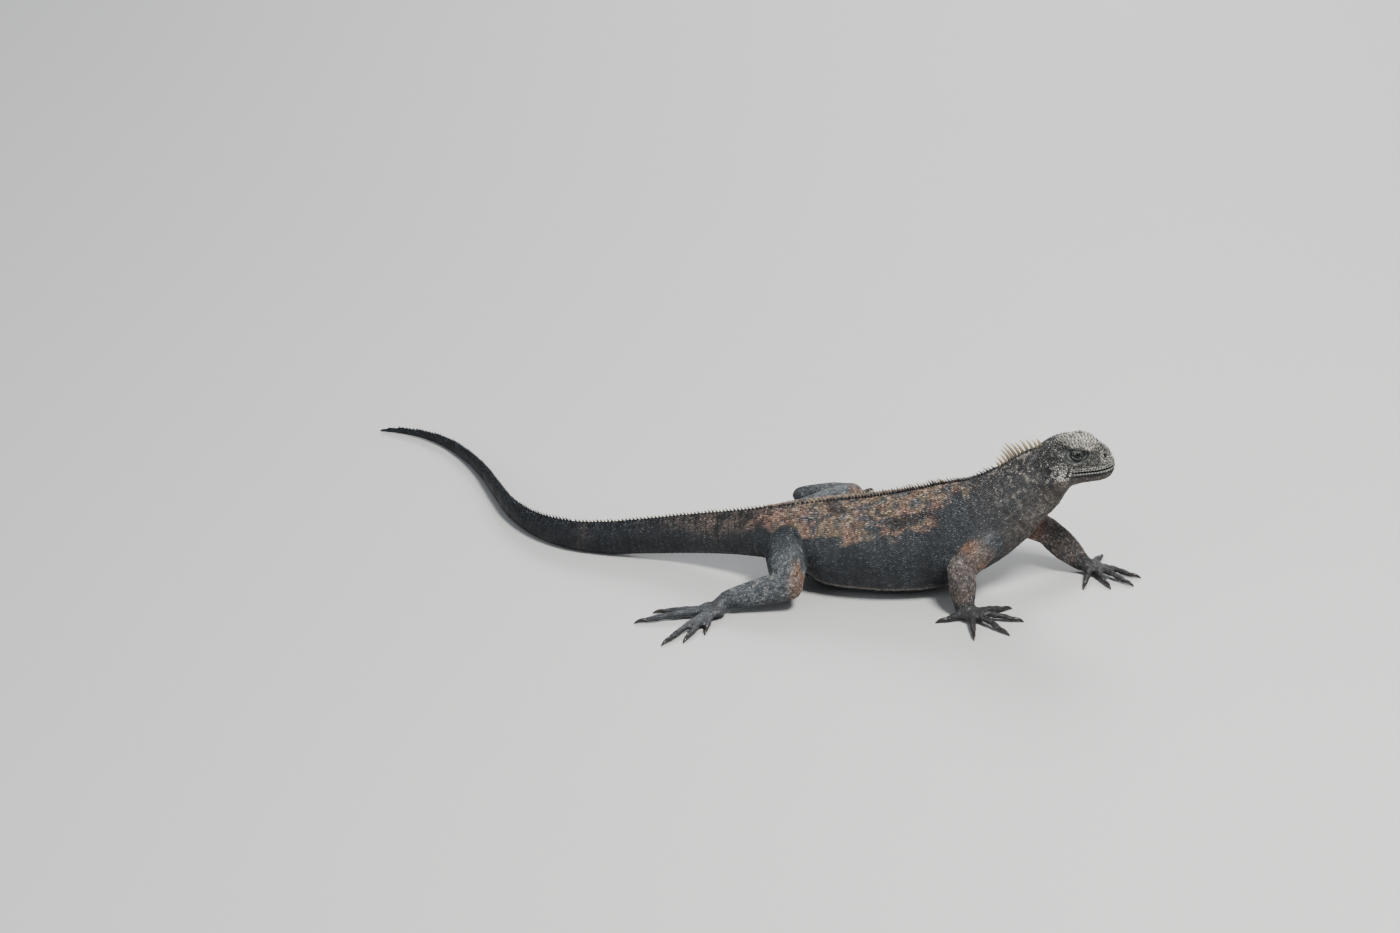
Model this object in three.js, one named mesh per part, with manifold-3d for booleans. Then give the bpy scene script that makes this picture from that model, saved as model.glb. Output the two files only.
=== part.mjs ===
// A life-size marine iguana, resting with its chest raised, as a still museum model.
// Millimetres. +X is forward (the head), +Y the animal's left, +Z up.
// The origin is on the floor under the middle of the belly.
import * as THREE from "three";
import { mergeVertices } from "three/addons/utils/BufferGeometryUtils.js";
import Module from "manifold-3d";

const wasm = await Module();
wasm.setup();

// Driving dimensions
const GAP = 0.3;
const RING_SIDES = 16;
const HEAD_SIDES = 20;
const FLOOR_CUT = 60;

// The body from the tail's tip to the neck. Each row is one station on the spine:
// x, y, z of the centre, height above it, depth below it, half width.
const SPINE = [
  [-478, 238, 1.7, 1.4, 1.7, 0.9],
  [-456, 237, 3.4, 3.5, 3.8, 1.9],
  [-428, 228, 4.7, 4.9, 5.2, 2.8],
  [-402, 210, 5.8, 6.1, 6.3, 3.5],
  [-379, 183, 6.9, 7.2, 7.4, 4.2],
  [-359, 151, 7.9, 8.2, 8.4, 4.9],
  [-342, 116, 9.0, 9.3, 9.5, 5.6],
  [-322, 77, 10.2, 10.6, 10.7, 6.4],
  [-295, 46, 11.8, 12.2, 12.3, 7.3],
  [-264, 28, 13.8, 14.0, 14.3, 8.4],
  [-230, 22, 16.0, 15.8, 16.2, 9.8],
  [-195, 20, 20.5, 17.2, 17.4, 11.3],
  [-160, 16, 26.5, 18.6, 18.4, 13.2],
  [-128, 9, 33.0, 20.2, 19.6, 15.6],
  [-102, 3, 38.0, 22.0, 21.0, 19.5],
  [-80, 0, 41.5, 24.5, 23.5, 27.0],
  [-58, 0, 42.5, 28.5, 30.0, 37.0],
  [-30, 0, 40.0, 36.0, 39.5, 46.0],
  [4, 0, 38.5, 42.0, 41.0, 50.5],
  [40, 0, 42.0, 46.0, 44.0, 48.5],
  [74, 0, 52.5, 45.0, 43.0, 42.5],
  [100, 0, 66.0, 40.0, 40.0, 36.0],
  [121, 0, 82.5, 33.0, 36.0, 30.0],
  [139, 0, 99.0, 28.5, 31.0, 26.0],
  [154, 0, 112.0, 26.0, 27.0, 23.0],
  [168, 0, 121.0, 21.0, 20.0, 18.0],
];
// Roundness of the section above and below its widest line: 2 is an ellipse, less is a roof.
const BODY_ROUND = [1.65, 2.35];
const TAIL_ROUND = [1.75, 1.95];
const TAIL_ENDS_AT = 14;
const BODY_BEGINS_AT = 17;
const RINGS_PER_STATION = 2;

// The head along its own axis: x, z of the centre, height above, depth below, half width.
const HEAD = [
  [147, 118.0, 17.5, 24.0, 19.5],
  [157, 121.5, 21.5, 27.0, 22.5],
  [167, 124.0, 22.0, 25.5, 23.6],
  [177, 125.0, 22.0, 22.0, 21.8],
  [186, 125.0, 21.8, 19.0, 18.8],
  [194, 124.5, 20.4, 17.2, 16.4],
  [201, 123.5, 18.0, 15.0, 14.4],
  [207, 122.5, 14.0, 11.8, 11.8],
  [211, 121.5, 8.8, 7.4, 7.8],
  [213, 121.0, 2.0, 2.2, 2.2],
];
const HEAD_ROUND = [2.6, 2.2];

// Lumps and hollows of the head, on both sides: centre x, y, z and radii x, y, z.
const BROW = [[183, 13.8, 143.0], [12, 5.6, 2.9]];
const JOWL = [[165, 18.5, 113.5], [11, 6.5, 9.5]];
const TEMPLE = [[165, 18.0, 134.0], [9, 5.5, 8]];
const SNOUT_RIM = [[203.8, 8.2, 131.6], [3.4, 2.6, 3.0]];
const ORBIT = [[181.5, 20.6, 138.6], [8.6, 3.2, 6.2]];
const NOSTRIL = [[204.8, 8.4, 135.2], [1.5, 1.9, 1.3]];
const EAR = [[156.5, 23.0, 123.6], [3.6, 2.2, 4.6]];
const EYE_CENTRE = [181, 14.4, 138.8];
const EYE_RADIUS = 5.3;

// The closed mouth: the cut starts at the snout's tip and ends at the corner.
const MOUTH_TIP = { x: 217, z: 125.1 };
const MOUTH_CORNER = { x: 178, z: 122.9 };
const JAW_ANGLE = { x: 171.5, z: 90 };

// Cuts between the head, neck, trunk and lengths of tail, as places on the spine.
const PARTING = {
  head: { at: [157.5, 0, 118], along: [0.9, 0, 0.42] },
  neck: { at: [119, 0, 81], along: [0.75, 0, 0.66] },
  tail: { at: [-92, 1.5, 39.5], along: [0.98, -0.15, 0.14] },
};
const TAIL_CUTS = [10.6, 7.4, 4.5];

// Crests along the back. Each is a run of spines between two places on the spine:
// spacing, height at the start, middle and end, and thickness as a share of height.
const NECK_CREST = {
  from: 24.6, to: 22.75, spacing: 3.4, heights: [8, 16.5, 8], base: 2.9, width: 1.9, lean: -0.05,
};
const BACK_CREST = {
  from: 22.55, to: 15.2, spacing: 4.9, heights: [3.2, 5.4, 3.6], base: 3.6, width: 1.6, lean: 0.6,
};
const TAIL_CREST = {
  from: 15.1, to: 1.4, spacing: 7.2, heights: [3.2, 2.6, 1.6], base: 4.8, width: 1.5, lean: 0.8,
};
const SPINE_SUNK = 1.6;

// Limbs. Each bone's flesh is a lathed shape between two joints.
const LIMBS = {
  arm_right: {
    joints: [[111, -22, 61], [86, -47, 38.5], [90, -60, 9.5]],
    parts: ["upper_arm_right", "forearm_right", "hand_right"],
    radii: [[15.5, 15.5, 12.6], [12.6, 12.4, 9.2]],
  },
  arm_left: {
    joints: [[118, 22, 61], [157, 37, 36.5], [187, 32, 10.5]],
    parts: ["upper_arm_left", "forearm_left", "hand_left"],
    radii: [[15.5, 15.0, 12.4], [12.4, 12.4, 9.0]],
  },
  leg_right: {
    joints: [[-70, -17, 39], [-62, -63, 23], [-114, -73, 12]],
    parts: ["thigh_right", "shank_right", "foot_right"],
    radii: [[18.5, 17.8, 13.2], [13.0, 12.2, 8.4]],
  },
  leg_left: {
    joints: [[-66, 17, 40], [-19, 59, 49], [-65, 98, 28]],
    parts: ["thigh_left", "shank_left", "foot_left"],
    radii: [[18.5, 17.0, 13.0], [12.8, 12.0, 8.4]],
  },
};

// Hands and feet: the middle of the palm or sole, its size, and each digit's claw tip on the floor.
const PAWS = {
  hand_right: {
    wrist: [90, -60, 9.5],
    palm: [97, -66, 6.2],
    size: [11.5, 10.5, 5.6],
    arch: 8.0,
    radii: [3.9, 3.3, 2.5],
    tips: [[131, -43], [142, -66], [131, -92], [101, -104], [66, -76]],
  },
  hand_left: {
    wrist: [187, 32, 10.5],
    palm: [197, 31, 6.4],
    size: [11.0, 11.0, 5.6],
    arch: 8.5,
    radii: [3.9, 3.3, 2.5],
    tips: [[191, -3], [215, 1], [235, 8], [241, 24], [207, 63]],
  },
  foot_right: {
    wrist: [-114, -73, 12],
    palm: [-126, -83, 6.6],
    size: [13.5, 11.5, 5.8],
    arch: 6.4,
    radii: [4.2, 3.5, 2.5],
    tips: [[-129, -118], [-146, -134], [-164, -141], [-192, -104], [-178, -84]],
  },
  foot_left: {
    wrist: [-65, 98, 28],
    palm: [-51, 112, 8.8],
    size: [13.5, 11.5, 6.0],
    arch: 6.4,
    radii: [4.2, 3.5, 2.5],
    tips: [[-8, 106], [2, 122], [4, 143], [-4, 168], [-42, 158]],
  },
};
const CLAW = { length: 9.5, radius: 1.75, tipRadius: 0.35, rise: 1.3 };
const DIGIT_CAP = 0.3;
const DIGIT_SIDES = 6;
const DIGIT_STEPS = 4;
const CLAW_SIDES = 5;
const CLAW_STEPS = 3;

const SKIN_COLOUR = new THREE.Color(0x33383d);
const skin = new THREE.MeshStandardMaterial({ color: SKIN_COLOUR, roughness: 0.6, metalness: 0 });
const horn = new THREE.MeshStandardMaterial({ color: 0x1b1c1e, roughness: 0.35, metalness: 0 });
const eyeball = new THREE.MeshStandardMaterial({ color: 0x1c130c, roughness: 0.08, metalness: 0 });

// Helpers
const vec = (p) => new THREE.Vector3(...p);

// A smooth value between rows: a uniform Catmull-Rom through every column.
function between(rows, t) {
  const i = Math.min(Math.floor(t), rows.length - 2);
  const f = t - i;
  const [a, b, c, d] = [i - 1, i, i + 1, i + 2].map((k) => rows[Math.max(0, Math.min(rows.length - 1, k))]);
  return b.map((_, k) => {
    const bend = 2 * a[k] - 5 * b[k] + 4 * c[k] - d[k];
    const turn = -a[k] + 3 * b[k] - 3 * c[k] + d[k];
    return b[k] + 0.5 * f * (c[k] - a[k] + f * (bend + f * turn));
  });
}

const roundPower = (value, power) => Math.sign(value) * Math.abs(value) ** (2 / power);

// One closed skin from rings of points, with a fan at each end.
function closedSkin(rings, first, last) {
  const sides = rings[0].length;
  const points = [...rings.flat(), first, last];
  const start = points.length - 2;
  const faces = [];
  for (let r = 0; r + 1 < rings.length; r += 1) {
    for (let s = 0; s < sides; s += 1) {
      const a = r * sides + s;
      const b = r * sides + ((s + 1) % sides);
      faces.push(a, b, b + sides, a, b + sides, a + sides);
    }
  }
  const top = (rings.length - 1) * sides;
  for (let s = 0; s < sides; s += 1) {
    faces.push(start, (s + 1) % sides, s);
    faces.push(start + 1, top + s, top + ((s + 1) % sides));
  }
  const geometry = new THREE.BufferGeometry().setFromPoints(points);
  geometry.setIndex(faces);
  return geometry;
}

// A closed geometry as a solid.
function solid(geometry) {
  const plain = geometry.index ? geometry.toNonIndexed() : geometry.clone();
  plain.deleteAttribute("normal");
  plain.deleteAttribute("uv");
  const merged = mergeVertices(plain, 1e-4);
  const made = new wasm.Manifold(
    new wasm.Mesh({
      numProp: 3,
      vertProperties: merged.attributes.position.array,
      triVerts: new Uint32Array(merged.index.array),
    }),
  );
  return made;
}

const joinAll = (solids) => solids.reduce((whole, piece) => whole.add(piece));

// A ball stretched to three radii.
function ellipsoid(centre, radii, grow = 0, across = 14) {
  const ball = new THREE.SphereGeometry(1, across, Math.round(across * 0.6));
  ball.scale(...radii.map((r) => r + grow));
  ball.translate(...centre);
  return solid(ball);
}

const mirrored = ([x, y, z]) => [x, -y, z];

const spinePoint = (t) => vec(between(SPINE, t).slice(0, 3));

// The direction, side and up of the spine at one place on it.
function spineFrame(t) {
  const step = 0.02;
  const [ahead, behind] = [t + step, t - step].map((place) => spinePoint(place));
  const along = ahead.sub(behind).normalize();
  const side = new THREE.Vector3(0, 0, 1).cross(along).normalize();
  const up = along.clone().cross(side);
  return { along, side, up };
}

const blend = (a, b, share) => a + (b - a) * Math.max(0, Math.min(1, share));

// The body and tail in one piece
function bodySolid(grow = 0) {
  const last = SPINE.length - 1;
  const rings = [];
  for (let k = 0; k <= last * RINGS_PER_STATION; k += 1) {
    const t = k / RINGS_PER_STATION;
    const [x, y, z, up, down, half] = between(SPINE, t);
    const frame = spineFrame(Math.min(Math.max(t, 0.02), last - 0.02));
    const share = (t - TAIL_ENDS_AT) / (BODY_BEGINS_AT - TAIL_ENDS_AT);
    const powers = [0, 1].map((side) => blend(TAIL_ROUND[side], BODY_ROUND[side], share));
    rings.push(
      Array.from({ length: RING_SIDES }, (_, s) => {
        const turn = (s / RING_SIDES) * 2 * Math.PI;
        const lift = Math.sin(turn);
        const power = lift > 0 ? powers[0] : powers[1];
        const height = (lift > 0 ? up : down) + grow;
        return new THREE.Vector3(x, y, z)
          .addScaledVector(frame.side, (half + grow) * roundPower(Math.cos(turn), power))
          .addScaledVector(frame.up, height * roundPower(lift, power));
      }),
    );
  }
  return solid(closedSkin(rings, spinePoint(0), spinePoint(last)));
}

// The head in one piece, without its lumps and hollows
function headShape(grow = 0) {
  const last = HEAD.length - 1;
  const rings = [];
  for (let k = 0; k <= last * RINGS_PER_STATION; k += 1) {
    const [x, z, up, down, half] = between(HEAD, k / RINGS_PER_STATION);
    rings.push(
      Array.from({ length: HEAD_SIDES }, (_, s) => {
        const turn = (s / HEAD_SIDES) * 2 * Math.PI;
        const lift = Math.sin(turn);
        const power = HEAD_ROUND[lift > 0 ? 0 : 1];
        const height = (lift > 0 ? up : down) + grow;
        const across = (half + grow) * roundPower(Math.cos(turn), power);
        return new THREE.Vector3(x, across, z + height * roundPower(lift, power));
      }),
    );
  }
  const [start, end] = [HEAD[0], HEAD[last]].map(([x, z]) => new THREE.Vector3(x, 0, z));
  return solid(closedSkin(rings, start, end));
}

function onBothSides([centre, radii], across = 10) {
  return ellipsoid(centre, radii, 0, across).add(ellipsoid(mirrored(centre), radii, 0, across));
}

// A spine of a crest: a flat, curved thorn that stands on the back and leans towards the tail
function thorn(t, height, crest) {
  const [x, y, z, up] = between(SPINE, t);
  const frame = spineFrame(t);
  const foot = new THREE.Vector3(x, y, z).addScaledVector(frame.up, up - SPINE_SUNK);
  const back = frame.along.clone().negate();
  const long = crest.base / 2;
  const wide = crest.width / 2;
  const ring = (rise, shrink) => {
    const lean = crest.lean * rise * (rise / (height + SPINE_SUNK));
    const middle = foot.clone().addScaledVector(frame.up, rise).addScaledVector(back, lean);
    return [
      middle.clone().addScaledVector(back, -long * shrink),
      middle.clone().addScaledVector(frame.side, -wide * shrink),
      middle.clone().addScaledVector(back, long * shrink),
      middle.clone().addScaledVector(frame.side, wide * shrink),
    ].reverse();
  };
  const full = height + SPINE_SUNK;
  const rings = crest === NECK_CREST ? [ring(0, 1), ring(full * 0.6, 0.66)] : [ring(0, 1)];
  const tip = foot.clone().addScaledVector(frame.up, full).addScaledVector(back, crest.lean * full);
  return solid(closedSkin(rings, foot, tip));
}

// How far along the spine, in millimetres, each place is
function placesAlong(from, to, spacing) {
  const steps = 400;
  const places = [from];
  let walked = 0;
  let before = spinePoint(from);
  for (let k = 1; k <= steps; k += 1) {
    const t = from + ((to - from) * k) / steps;
    const here = spinePoint(t);
    walked += here.distanceTo(before);
    before = here;
    if (walked >= spacing) {
      places.push(t);
      walked -= spacing;
    }
  }
  return places;
}

function crestSolids(crest) {
  const places = placesAlong(crest.from, crest.to, crest.spacing);
  return places.map((t, k) => {
    const share = k / (places.length - 1);
    const [first, middle, end] = crest.heights;
    const height = share < 0.5 ? blend(first, middle, share * 2) : blend(middle, end, share * 2 - 1);
    return thorn(t, height, crest);
  });
}

// The flesh of one long bone, lathed round the line between its joints
function boneFlesh(from, to, radii, grow = 0) {
  const [start, middle, end] = radii.map((radius) => radius + grow);
  const length = from.distanceTo(to);
  const steps = 5;
  const profile = [new THREE.Vector2(0, -start)];
  for (const turn of [0.35, 0.7]) {
    const angle = (turn * Math.PI) / 2;
    profile.push(new THREE.Vector2(start * Math.sin(angle), -start * Math.cos(angle)));
  }
  for (let k = 0; k <= steps; k += 1) {
    const share = k / steps;
    const straight = blend(start, end, share);
    const bulge = (middle - (start + end) / 2) * Math.sin(Math.PI * share);
    profile.push(new THREE.Vector2(straight + bulge, length * share));
  }
  for (const turn of [0.35, 0.7]) {
    const angle = (turn * Math.PI) / 2;
    profile.push(new THREE.Vector2(end * Math.cos(angle), length + end * Math.sin(angle)));
  }
  profile.push(new THREE.Vector2(0, length + end));
  const shape = new THREE.LatheGeometry(profile, 12);
  const way = to.clone().sub(from).normalize();
  const turn = new THREE.Quaternion().setFromUnitVectors(new THREE.Vector3(0, 1, 0), way);
  shape.applyQuaternion(turn).translate(from.x, from.y, from.z);
  return solid(shape);
}

// A tapered tube along a curve, with its section turned as little as possible
function taperedTube(curve, radiusAt, sides, steps, caps, grow = 0) {
  const frames = curve.computeFrenetFrames(steps, false);
  const rings = frames.tangents.map((_, k) => {
    const middle = curve.getPointAt(k / steps);
    const radius = radiusAt(k / steps) + grow;
    return Array.from({ length: sides }, (_, s) => {
      const turn = (s / sides) * 2 * Math.PI;
      return middle
        .clone()
        .addScaledVector(frames.normals[k], radius * Math.cos(turn))
        .addScaledVector(frames.binormals[k], radius * Math.sin(turn));
    });
  });
  const cap = (k, sign) =>
    curve.getPointAt(k).addScaledVector(curve.getTangentAt(k), sign * (radiusAt(k) * caps[k] + grow));
  return solid(closedSkin(rings, cap(0, -1), cap(1, 1)));
}

// Where a digit's flesh and its claw run, from the palm to the claw's tip
function digitLine(paw, tip) {
  const [px, py, pz] = paw.palm;
  const flat = new THREE.Vector2(tip[0] - px, tip[1] - py);
  const length = flat.length();
  const way = flat.clone().normalize();
  const at = (distance, z) => new THREE.Vector3(px + way.x * distance, py + way.y * distance, z);
  const end = length - CLAW.length;
  const [root, , thin] = paw.radii;
  const flesh = new THREE.CatmullRomCurve3([
    at(0, pz - 0.4),
    at(end * 0.3, (pz + paw.arch) / 2 - 0.6),
    at(end * 0.62, root + (paw.arch - root) * 0.45),
    at(end, thin + 0.3),
  ]);
  const claw = new THREE.QuadraticBezierCurve3(
    at(end + thin * DIGIT_CAP + GAP, thin + 0.4),
    at(end + CLAW.length * 0.55, thin + CLAW.rise),
    at(length, CLAW.tipRadius * 0.7),
  );
  return { flesh, claw };
}

function pawSolid(paw) {
  const [root, middle, thin] = paw.radii;
  const radiusAt = (share) => blend(blend(root, middle, share * 2), thin, share * 2 - 1);
  const digit = (line) => taperedTube(line, radiusAt, DIGIT_SIDES, DIGIT_STEPS, [1, DIGIT_CAP]);
  const digits = paw.tips.map((tip) => digit(digitLine(paw, tip).flesh));
  const bridge = ellipsoid(paw.palm, paw.size, 0, 10);
  const height = paw.size[2];
  const instep = new THREE.LineCurve3(vec(paw.wrist), vec(paw.palm));
  const heel = taperedTube(instep, (share) => height + 2.6 * (1 - share), 8, 1, [0.6, 0.6]);
  return joinAll([bridge, heel, ...digits]);
}

function clawSolid(paw, tip) {
  const radiusAt = (share) => blend(CLAW.radius, CLAW.tipRadius, share ** 0.8);
  return taperedTube(digitLine(paw, tip).claw, radiusAt, CLAW_SIDES, CLAW_STEPS, [0, 1]);
}

// A big block that fills one side of a plane, or a thin slab on it
function block(at, along, thickness, reach = 1200) {
  const box = new THREE.BoxGeometry(thickness, reach, reach);
  const turn = new THREE.Quaternion().setFromUnitVectors(new THREE.Vector3(1, 0, 0), vec(along).normalize());
  box.applyQuaternion(turn).translate(...at);
  return solid(box);
}

// The side of a plane that a part lies on: the whole of it from half a gap away
function sideOf(at, along, sign) {
  const direction = vec(along).normalize().multiplyScalar(sign);
  const depth = 1400;
  const centre = vec(at).addScaledVector(direction, depth / 2 + GAP / 2);
  return block(centre.toArray(), direction.toArray(), depth, 3000);
}

// The largest body of a solid, without the slivers that a cut can leave
function mainBody(piece) {
  const bodies = piece.decompose();
  return bodies.reduce((best, body) => (body.volume() > best.volume() ? body : best));
}

const floorBlock = block([0, 0, -FLOOR_CUT / 2], [0, 0, 1], FLOOR_CUT, 2000);

const iguana = new THREE.Group();

function place(name, piece, material) {
  const standing = mainBody(piece.subtract(floorBlock));
  const mesh = standing.getMesh();
  const positions = new Float32Array(mesh.numVert * 3);
  for (let k = 0; k < mesh.numVert; k += 1) {
    positions.set(mesh.vertProperties.subarray(k * mesh.numProp, k * mesh.numProp + 3), k * 3);
  }
  const geometry = new THREE.BufferGeometry();
  geometry.setAttribute("position", new THREE.BufferAttribute(positions, 3));
  geometry.setIndex(new THREE.BufferAttribute(mesh.triVerts, 1));
  geometry.computeVertexNormals();
  const made = new THREE.Mesh(geometry, material);
  made.name = name;
  iguana.add(made);
}

// The head's lumps and hollows
const eyeSpaces = [EYE_CENTRE, mirrored(EYE_CENTRE)].map((centre) =>
  ellipsoid(centre, [EYE_RADIUS, EYE_RADIUS, EYE_RADIUS], GAP, 14),
);
const lumps = [onBothSides(BROW), onBothSides(JOWL), onBothSides(TEMPLE), onBothSides(SNOUT_RIM, 8)];
const hollows = [onBothSides(ORBIT), onBothSides(NOSTRIL, 8), onBothSides(EAR, 8), ...eyeSpaces];

// Body, neck, head and crests in one, to be parted below
const crests = [NECK_CREST, BACK_CREST, TAIL_CREST].flatMap(crestSolids);
const wholeBody = joinAll([bodySolid(), headShape(), ...lumps, ...crests]);
const wholeLine = hollows.reduce((whole, hollow) => whole.subtract(hollow), wholeBody);
const bodyGrown = bodySolid(GAP).add(headShape(GAP));

const { head: headCut, neck: neckCut, tail: tailCut } = PARTING;
const headWhole = wholeLine.intersect(sideOf(headCut.at, headCut.along, 1));
const behindHead = wholeLine.intersect(sideOf(headCut.at, headCut.along, -1));
const neckOnly = behindHead.intersect(sideOf(neckCut.at, neckCut.along, 1));
const behindNeck = wholeLine.intersect(sideOf(neckCut.at, neckCut.along, -1));
const trunkOnly = behindNeck.intersect(sideOf(tailCut.at, tailCut.along, 1));

// The lower jaw is what lies under the mouth, in front of the jaw's angle
function jawRegion(offset) {
  const outline = new THREE.Shape([
    new THREE.Vector2(MOUTH_TIP.x, MOUTH_TIP.z - offset),
    new THREE.Vector2(MOUTH_CORNER.x + offset, MOUTH_CORNER.z - offset),
    new THREE.Vector2(JAW_ANGLE.x + offset, JAW_ANGLE.z),
    new THREE.Vector2(MOUTH_TIP.x, JAW_ANGLE.z),
  ]);
  const wedge = new THREE.ExtrudeGeometry(outline, { depth: 80, bevelEnabled: false });
  wedge.rotateX(Math.PI / 2).translate(0, 40, 0);
  return solid(wedge);
}

place("head", headWhole.subtract(jawRegion(0)), skin);
place("jaw", headWhole.intersect(jawRegion(GAP)), skin);
place("neck", neckOnly, skin);
place("trunk", trunkOnly, skin);

// Tail in lengths
const planeAt = (t) => ({ at: spinePoint(t).toArray(), along: spineFrame(t).along.toArray() });
const tailPlanes = [tailCut, ...TAIL_CUTS.map(planeAt)];
// Each cut reaches only a little way, because the tail curves back across the longer planes
let tailLeft = behindNeck.intersect(sideOf(tailCut.at, tailCut.along, -1));
tailPlanes.slice(1).forEach((plane, k) => {
  const parted = tailLeft.subtract(block(plane.at, plane.along, GAP, 60)).decompose();
  const root = tailPlanes[k].at;
  const nearest = (body) => {
    const box = body.boundingBox();
    const spot = root.map((value, axis) => Math.max(box.min[axis], Math.min(box.max[axis], value)));
    return vec(spot).distanceTo(vec(root));
  };
  const [length, ...rest] = parted.sort((a, b) => nearest(a) - nearest(b) || b.volume() - a.volume());
  place("tail_" + (k + 1), length, skin);
  tailLeft = mainBody(joinAll(rest));
});
place("tail_4", tailLeft, skin);

// Eyes
for (const [name, side] of [["left", 1], ["right", -1]]) {
  const [x, y, z] = EYE_CENTRE;
  place("eye_" + name, ellipsoid([x, y * side, z], [EYE_RADIUS, EYE_RADIUS, EYE_RADIUS], 0, 14), eyeball);
}

// Limbs, parted at the elbow or knee and at the wrist or ankle
for (const limb of Object.values(LIMBS)) {
  const [rootJoint, middleJoint, endJoint] = limb.joints.map(vec);
  const [upperName, lowerName, pawName] = limb.parts;
  const paw = PAWS[pawName];
  const upper = boneFlesh(rootJoint, middleJoint, limb.radii[0]);
  const lower = boneFlesh(middleJoint, endJoint, limb.radii[1]);
  const lowerGrown = boneFlesh(middleJoint, endJoint, limb.radii[1], GAP);

  const upperWay = middleJoint.clone().sub(rootJoint).normalize();
  const lowerWay = endJoint.clone().sub(middleJoint).normalize();
  const kneeAt = middleJoint.toArray();
  const kneeWay = upperWay.clone().add(lowerWay).toArray();
  const ankleAt = endJoint.clone().addScaledVector(lowerWay, -1).toArray();
  const ankleWay = lowerWay.toArray();

  const aboveKnee = upper.subtract(bodyGrown).intersect(sideOf(kneeAt, kneeWay, -1));
  const belowKnee = lower.subtract(bodyGrown).intersect(sideOf(kneeAt, kneeWay, 1));
  const shin = belowKnee.intersect(sideOf(ankleAt, ankleWay, -1));
  const heel = lower.intersect(sideOf(ankleAt, ankleWay, 1));
  const shinRoom = lowerGrown.subtract(sideOf(ankleAt, ankleWay, 1));
  place(upperName, aboveKnee, skin);
  place(lowerName, shin, skin);
  place(pawName, pawSolid(paw).add(heel).subtract(shinRoom).subtract(bodyGrown), skin);

  paw.tips.forEach((tip, k) => {
    place("claw_" + pawName + "_" + (k + 1), clawSolid(paw, tip), horn);
  });
}

export default iguana;
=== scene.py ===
"""A marine iguana, life size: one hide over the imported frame, with scales, crest, claws and eyes."""

import itertools
import math

import bmesh
import bpy
import numpy as np
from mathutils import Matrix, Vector
from mathutils.bvhtree import BVHTree
from mathutils.kdtree import KDTree


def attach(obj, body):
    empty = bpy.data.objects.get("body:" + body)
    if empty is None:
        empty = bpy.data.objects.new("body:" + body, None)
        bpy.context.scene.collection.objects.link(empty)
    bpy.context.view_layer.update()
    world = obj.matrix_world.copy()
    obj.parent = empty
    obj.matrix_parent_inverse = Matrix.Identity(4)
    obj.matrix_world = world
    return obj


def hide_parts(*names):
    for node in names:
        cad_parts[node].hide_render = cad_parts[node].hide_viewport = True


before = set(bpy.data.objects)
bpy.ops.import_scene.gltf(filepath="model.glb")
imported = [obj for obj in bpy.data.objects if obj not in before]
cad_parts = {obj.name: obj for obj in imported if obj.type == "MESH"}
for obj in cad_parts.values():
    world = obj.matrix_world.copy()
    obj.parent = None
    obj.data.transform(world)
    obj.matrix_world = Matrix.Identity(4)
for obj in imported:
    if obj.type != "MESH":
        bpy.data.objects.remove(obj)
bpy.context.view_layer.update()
random = np.random.default_rng(7)
MM = 0.001
UV_MAP = "OFBake"

# Shapes below are in millimetres, in the frame's own axes, and turn into metres when a mesh is made.
# The spine, from the tail's tip to the head: centre x, y, z, height above, depth below, half width.
SPINE = np.array([
    [-478, 238, 1.7, 1.4, 1.7, 0.9],
    [-456, 237, 3.4, 3.5, 3.8, 1.9],
    [-428, 228, 4.7, 4.9, 5.2, 2.8],
    [-402, 210, 5.8, 6.1, 6.3, 3.5],
    [-379, 183, 6.9, 7.2, 7.4, 4.2],
    [-359, 151, 7.9, 8.2, 8.4, 4.9],
    [-342, 116, 9.0, 9.3, 9.5, 5.6],
    [-322, 77, 10.2, 10.6, 10.7, 6.4],
    [-295, 46, 11.8, 12.2, 12.3, 7.3],
    [-264, 28, 13.8, 14.0, 14.3, 8.4],
    [-230, 22, 16.0, 15.8, 16.2, 9.8],
    [-195, 20, 20.5, 17.2, 17.4, 11.3],
    [-160, 16, 26.5, 18.6, 18.4, 13.2],
    [-128, 9, 33.0, 20.2, 19.6, 15.6],
    [-102, 3, 38.0, 22.0, 21.0, 19.5],
    [-80, 0, 41.5, 24.5, 23.5, 27.0],
    [-58, 0, 42.5, 28.5, 30.0, 37.0],
    [-30, 0, 40.0, 36.0, 39.5, 46.0],
    [4, 0, 38.5, 42.0, 41.0, 50.5],
    [40, 0, 42.0, 46.0, 44.0, 48.5],
    [74, 0, 52.5, 45.0, 43.0, 42.5],
    [100, 0, 66.0, 40.0, 40.0, 36.0],
    [121, 0, 82.5, 33.0, 36.0, 30.0],
    [139, 0, 99.0, 28.5, 31.0, 26.0],
    [154, 0, 112.0, 26.0, 27.0, 23.0],
    [168, 0, 121.0, 21.0, 20.0, 18.0],
])
# The head: x, z of the centre, height above, depth below, half width.
HEAD = np.array([
    [147, 118.0, 17.5, 24.0, 19.5],
    [157, 121.5, 21.5, 27.0, 22.5],
    [167, 124.0, 22.0, 25.5, 23.6],
    [177, 125.0, 22.0, 22.0, 21.8],
    [186, 125.0, 21.8, 19.0, 18.8],
    [194, 124.5, 20.4, 17.2, 16.4],
    [201, 123.5, 18.0, 15.0, 14.4],
    [207, 122.5, 14.0, 11.8, 11.8],
    [211, 121.5, 8.8, 7.4, 7.8],
    [213, 121.0, 2.0, 2.2, 2.2],
])
# How square the head's outline is above and below
HEAD_POWERS = (2.6, 2.2)
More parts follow.
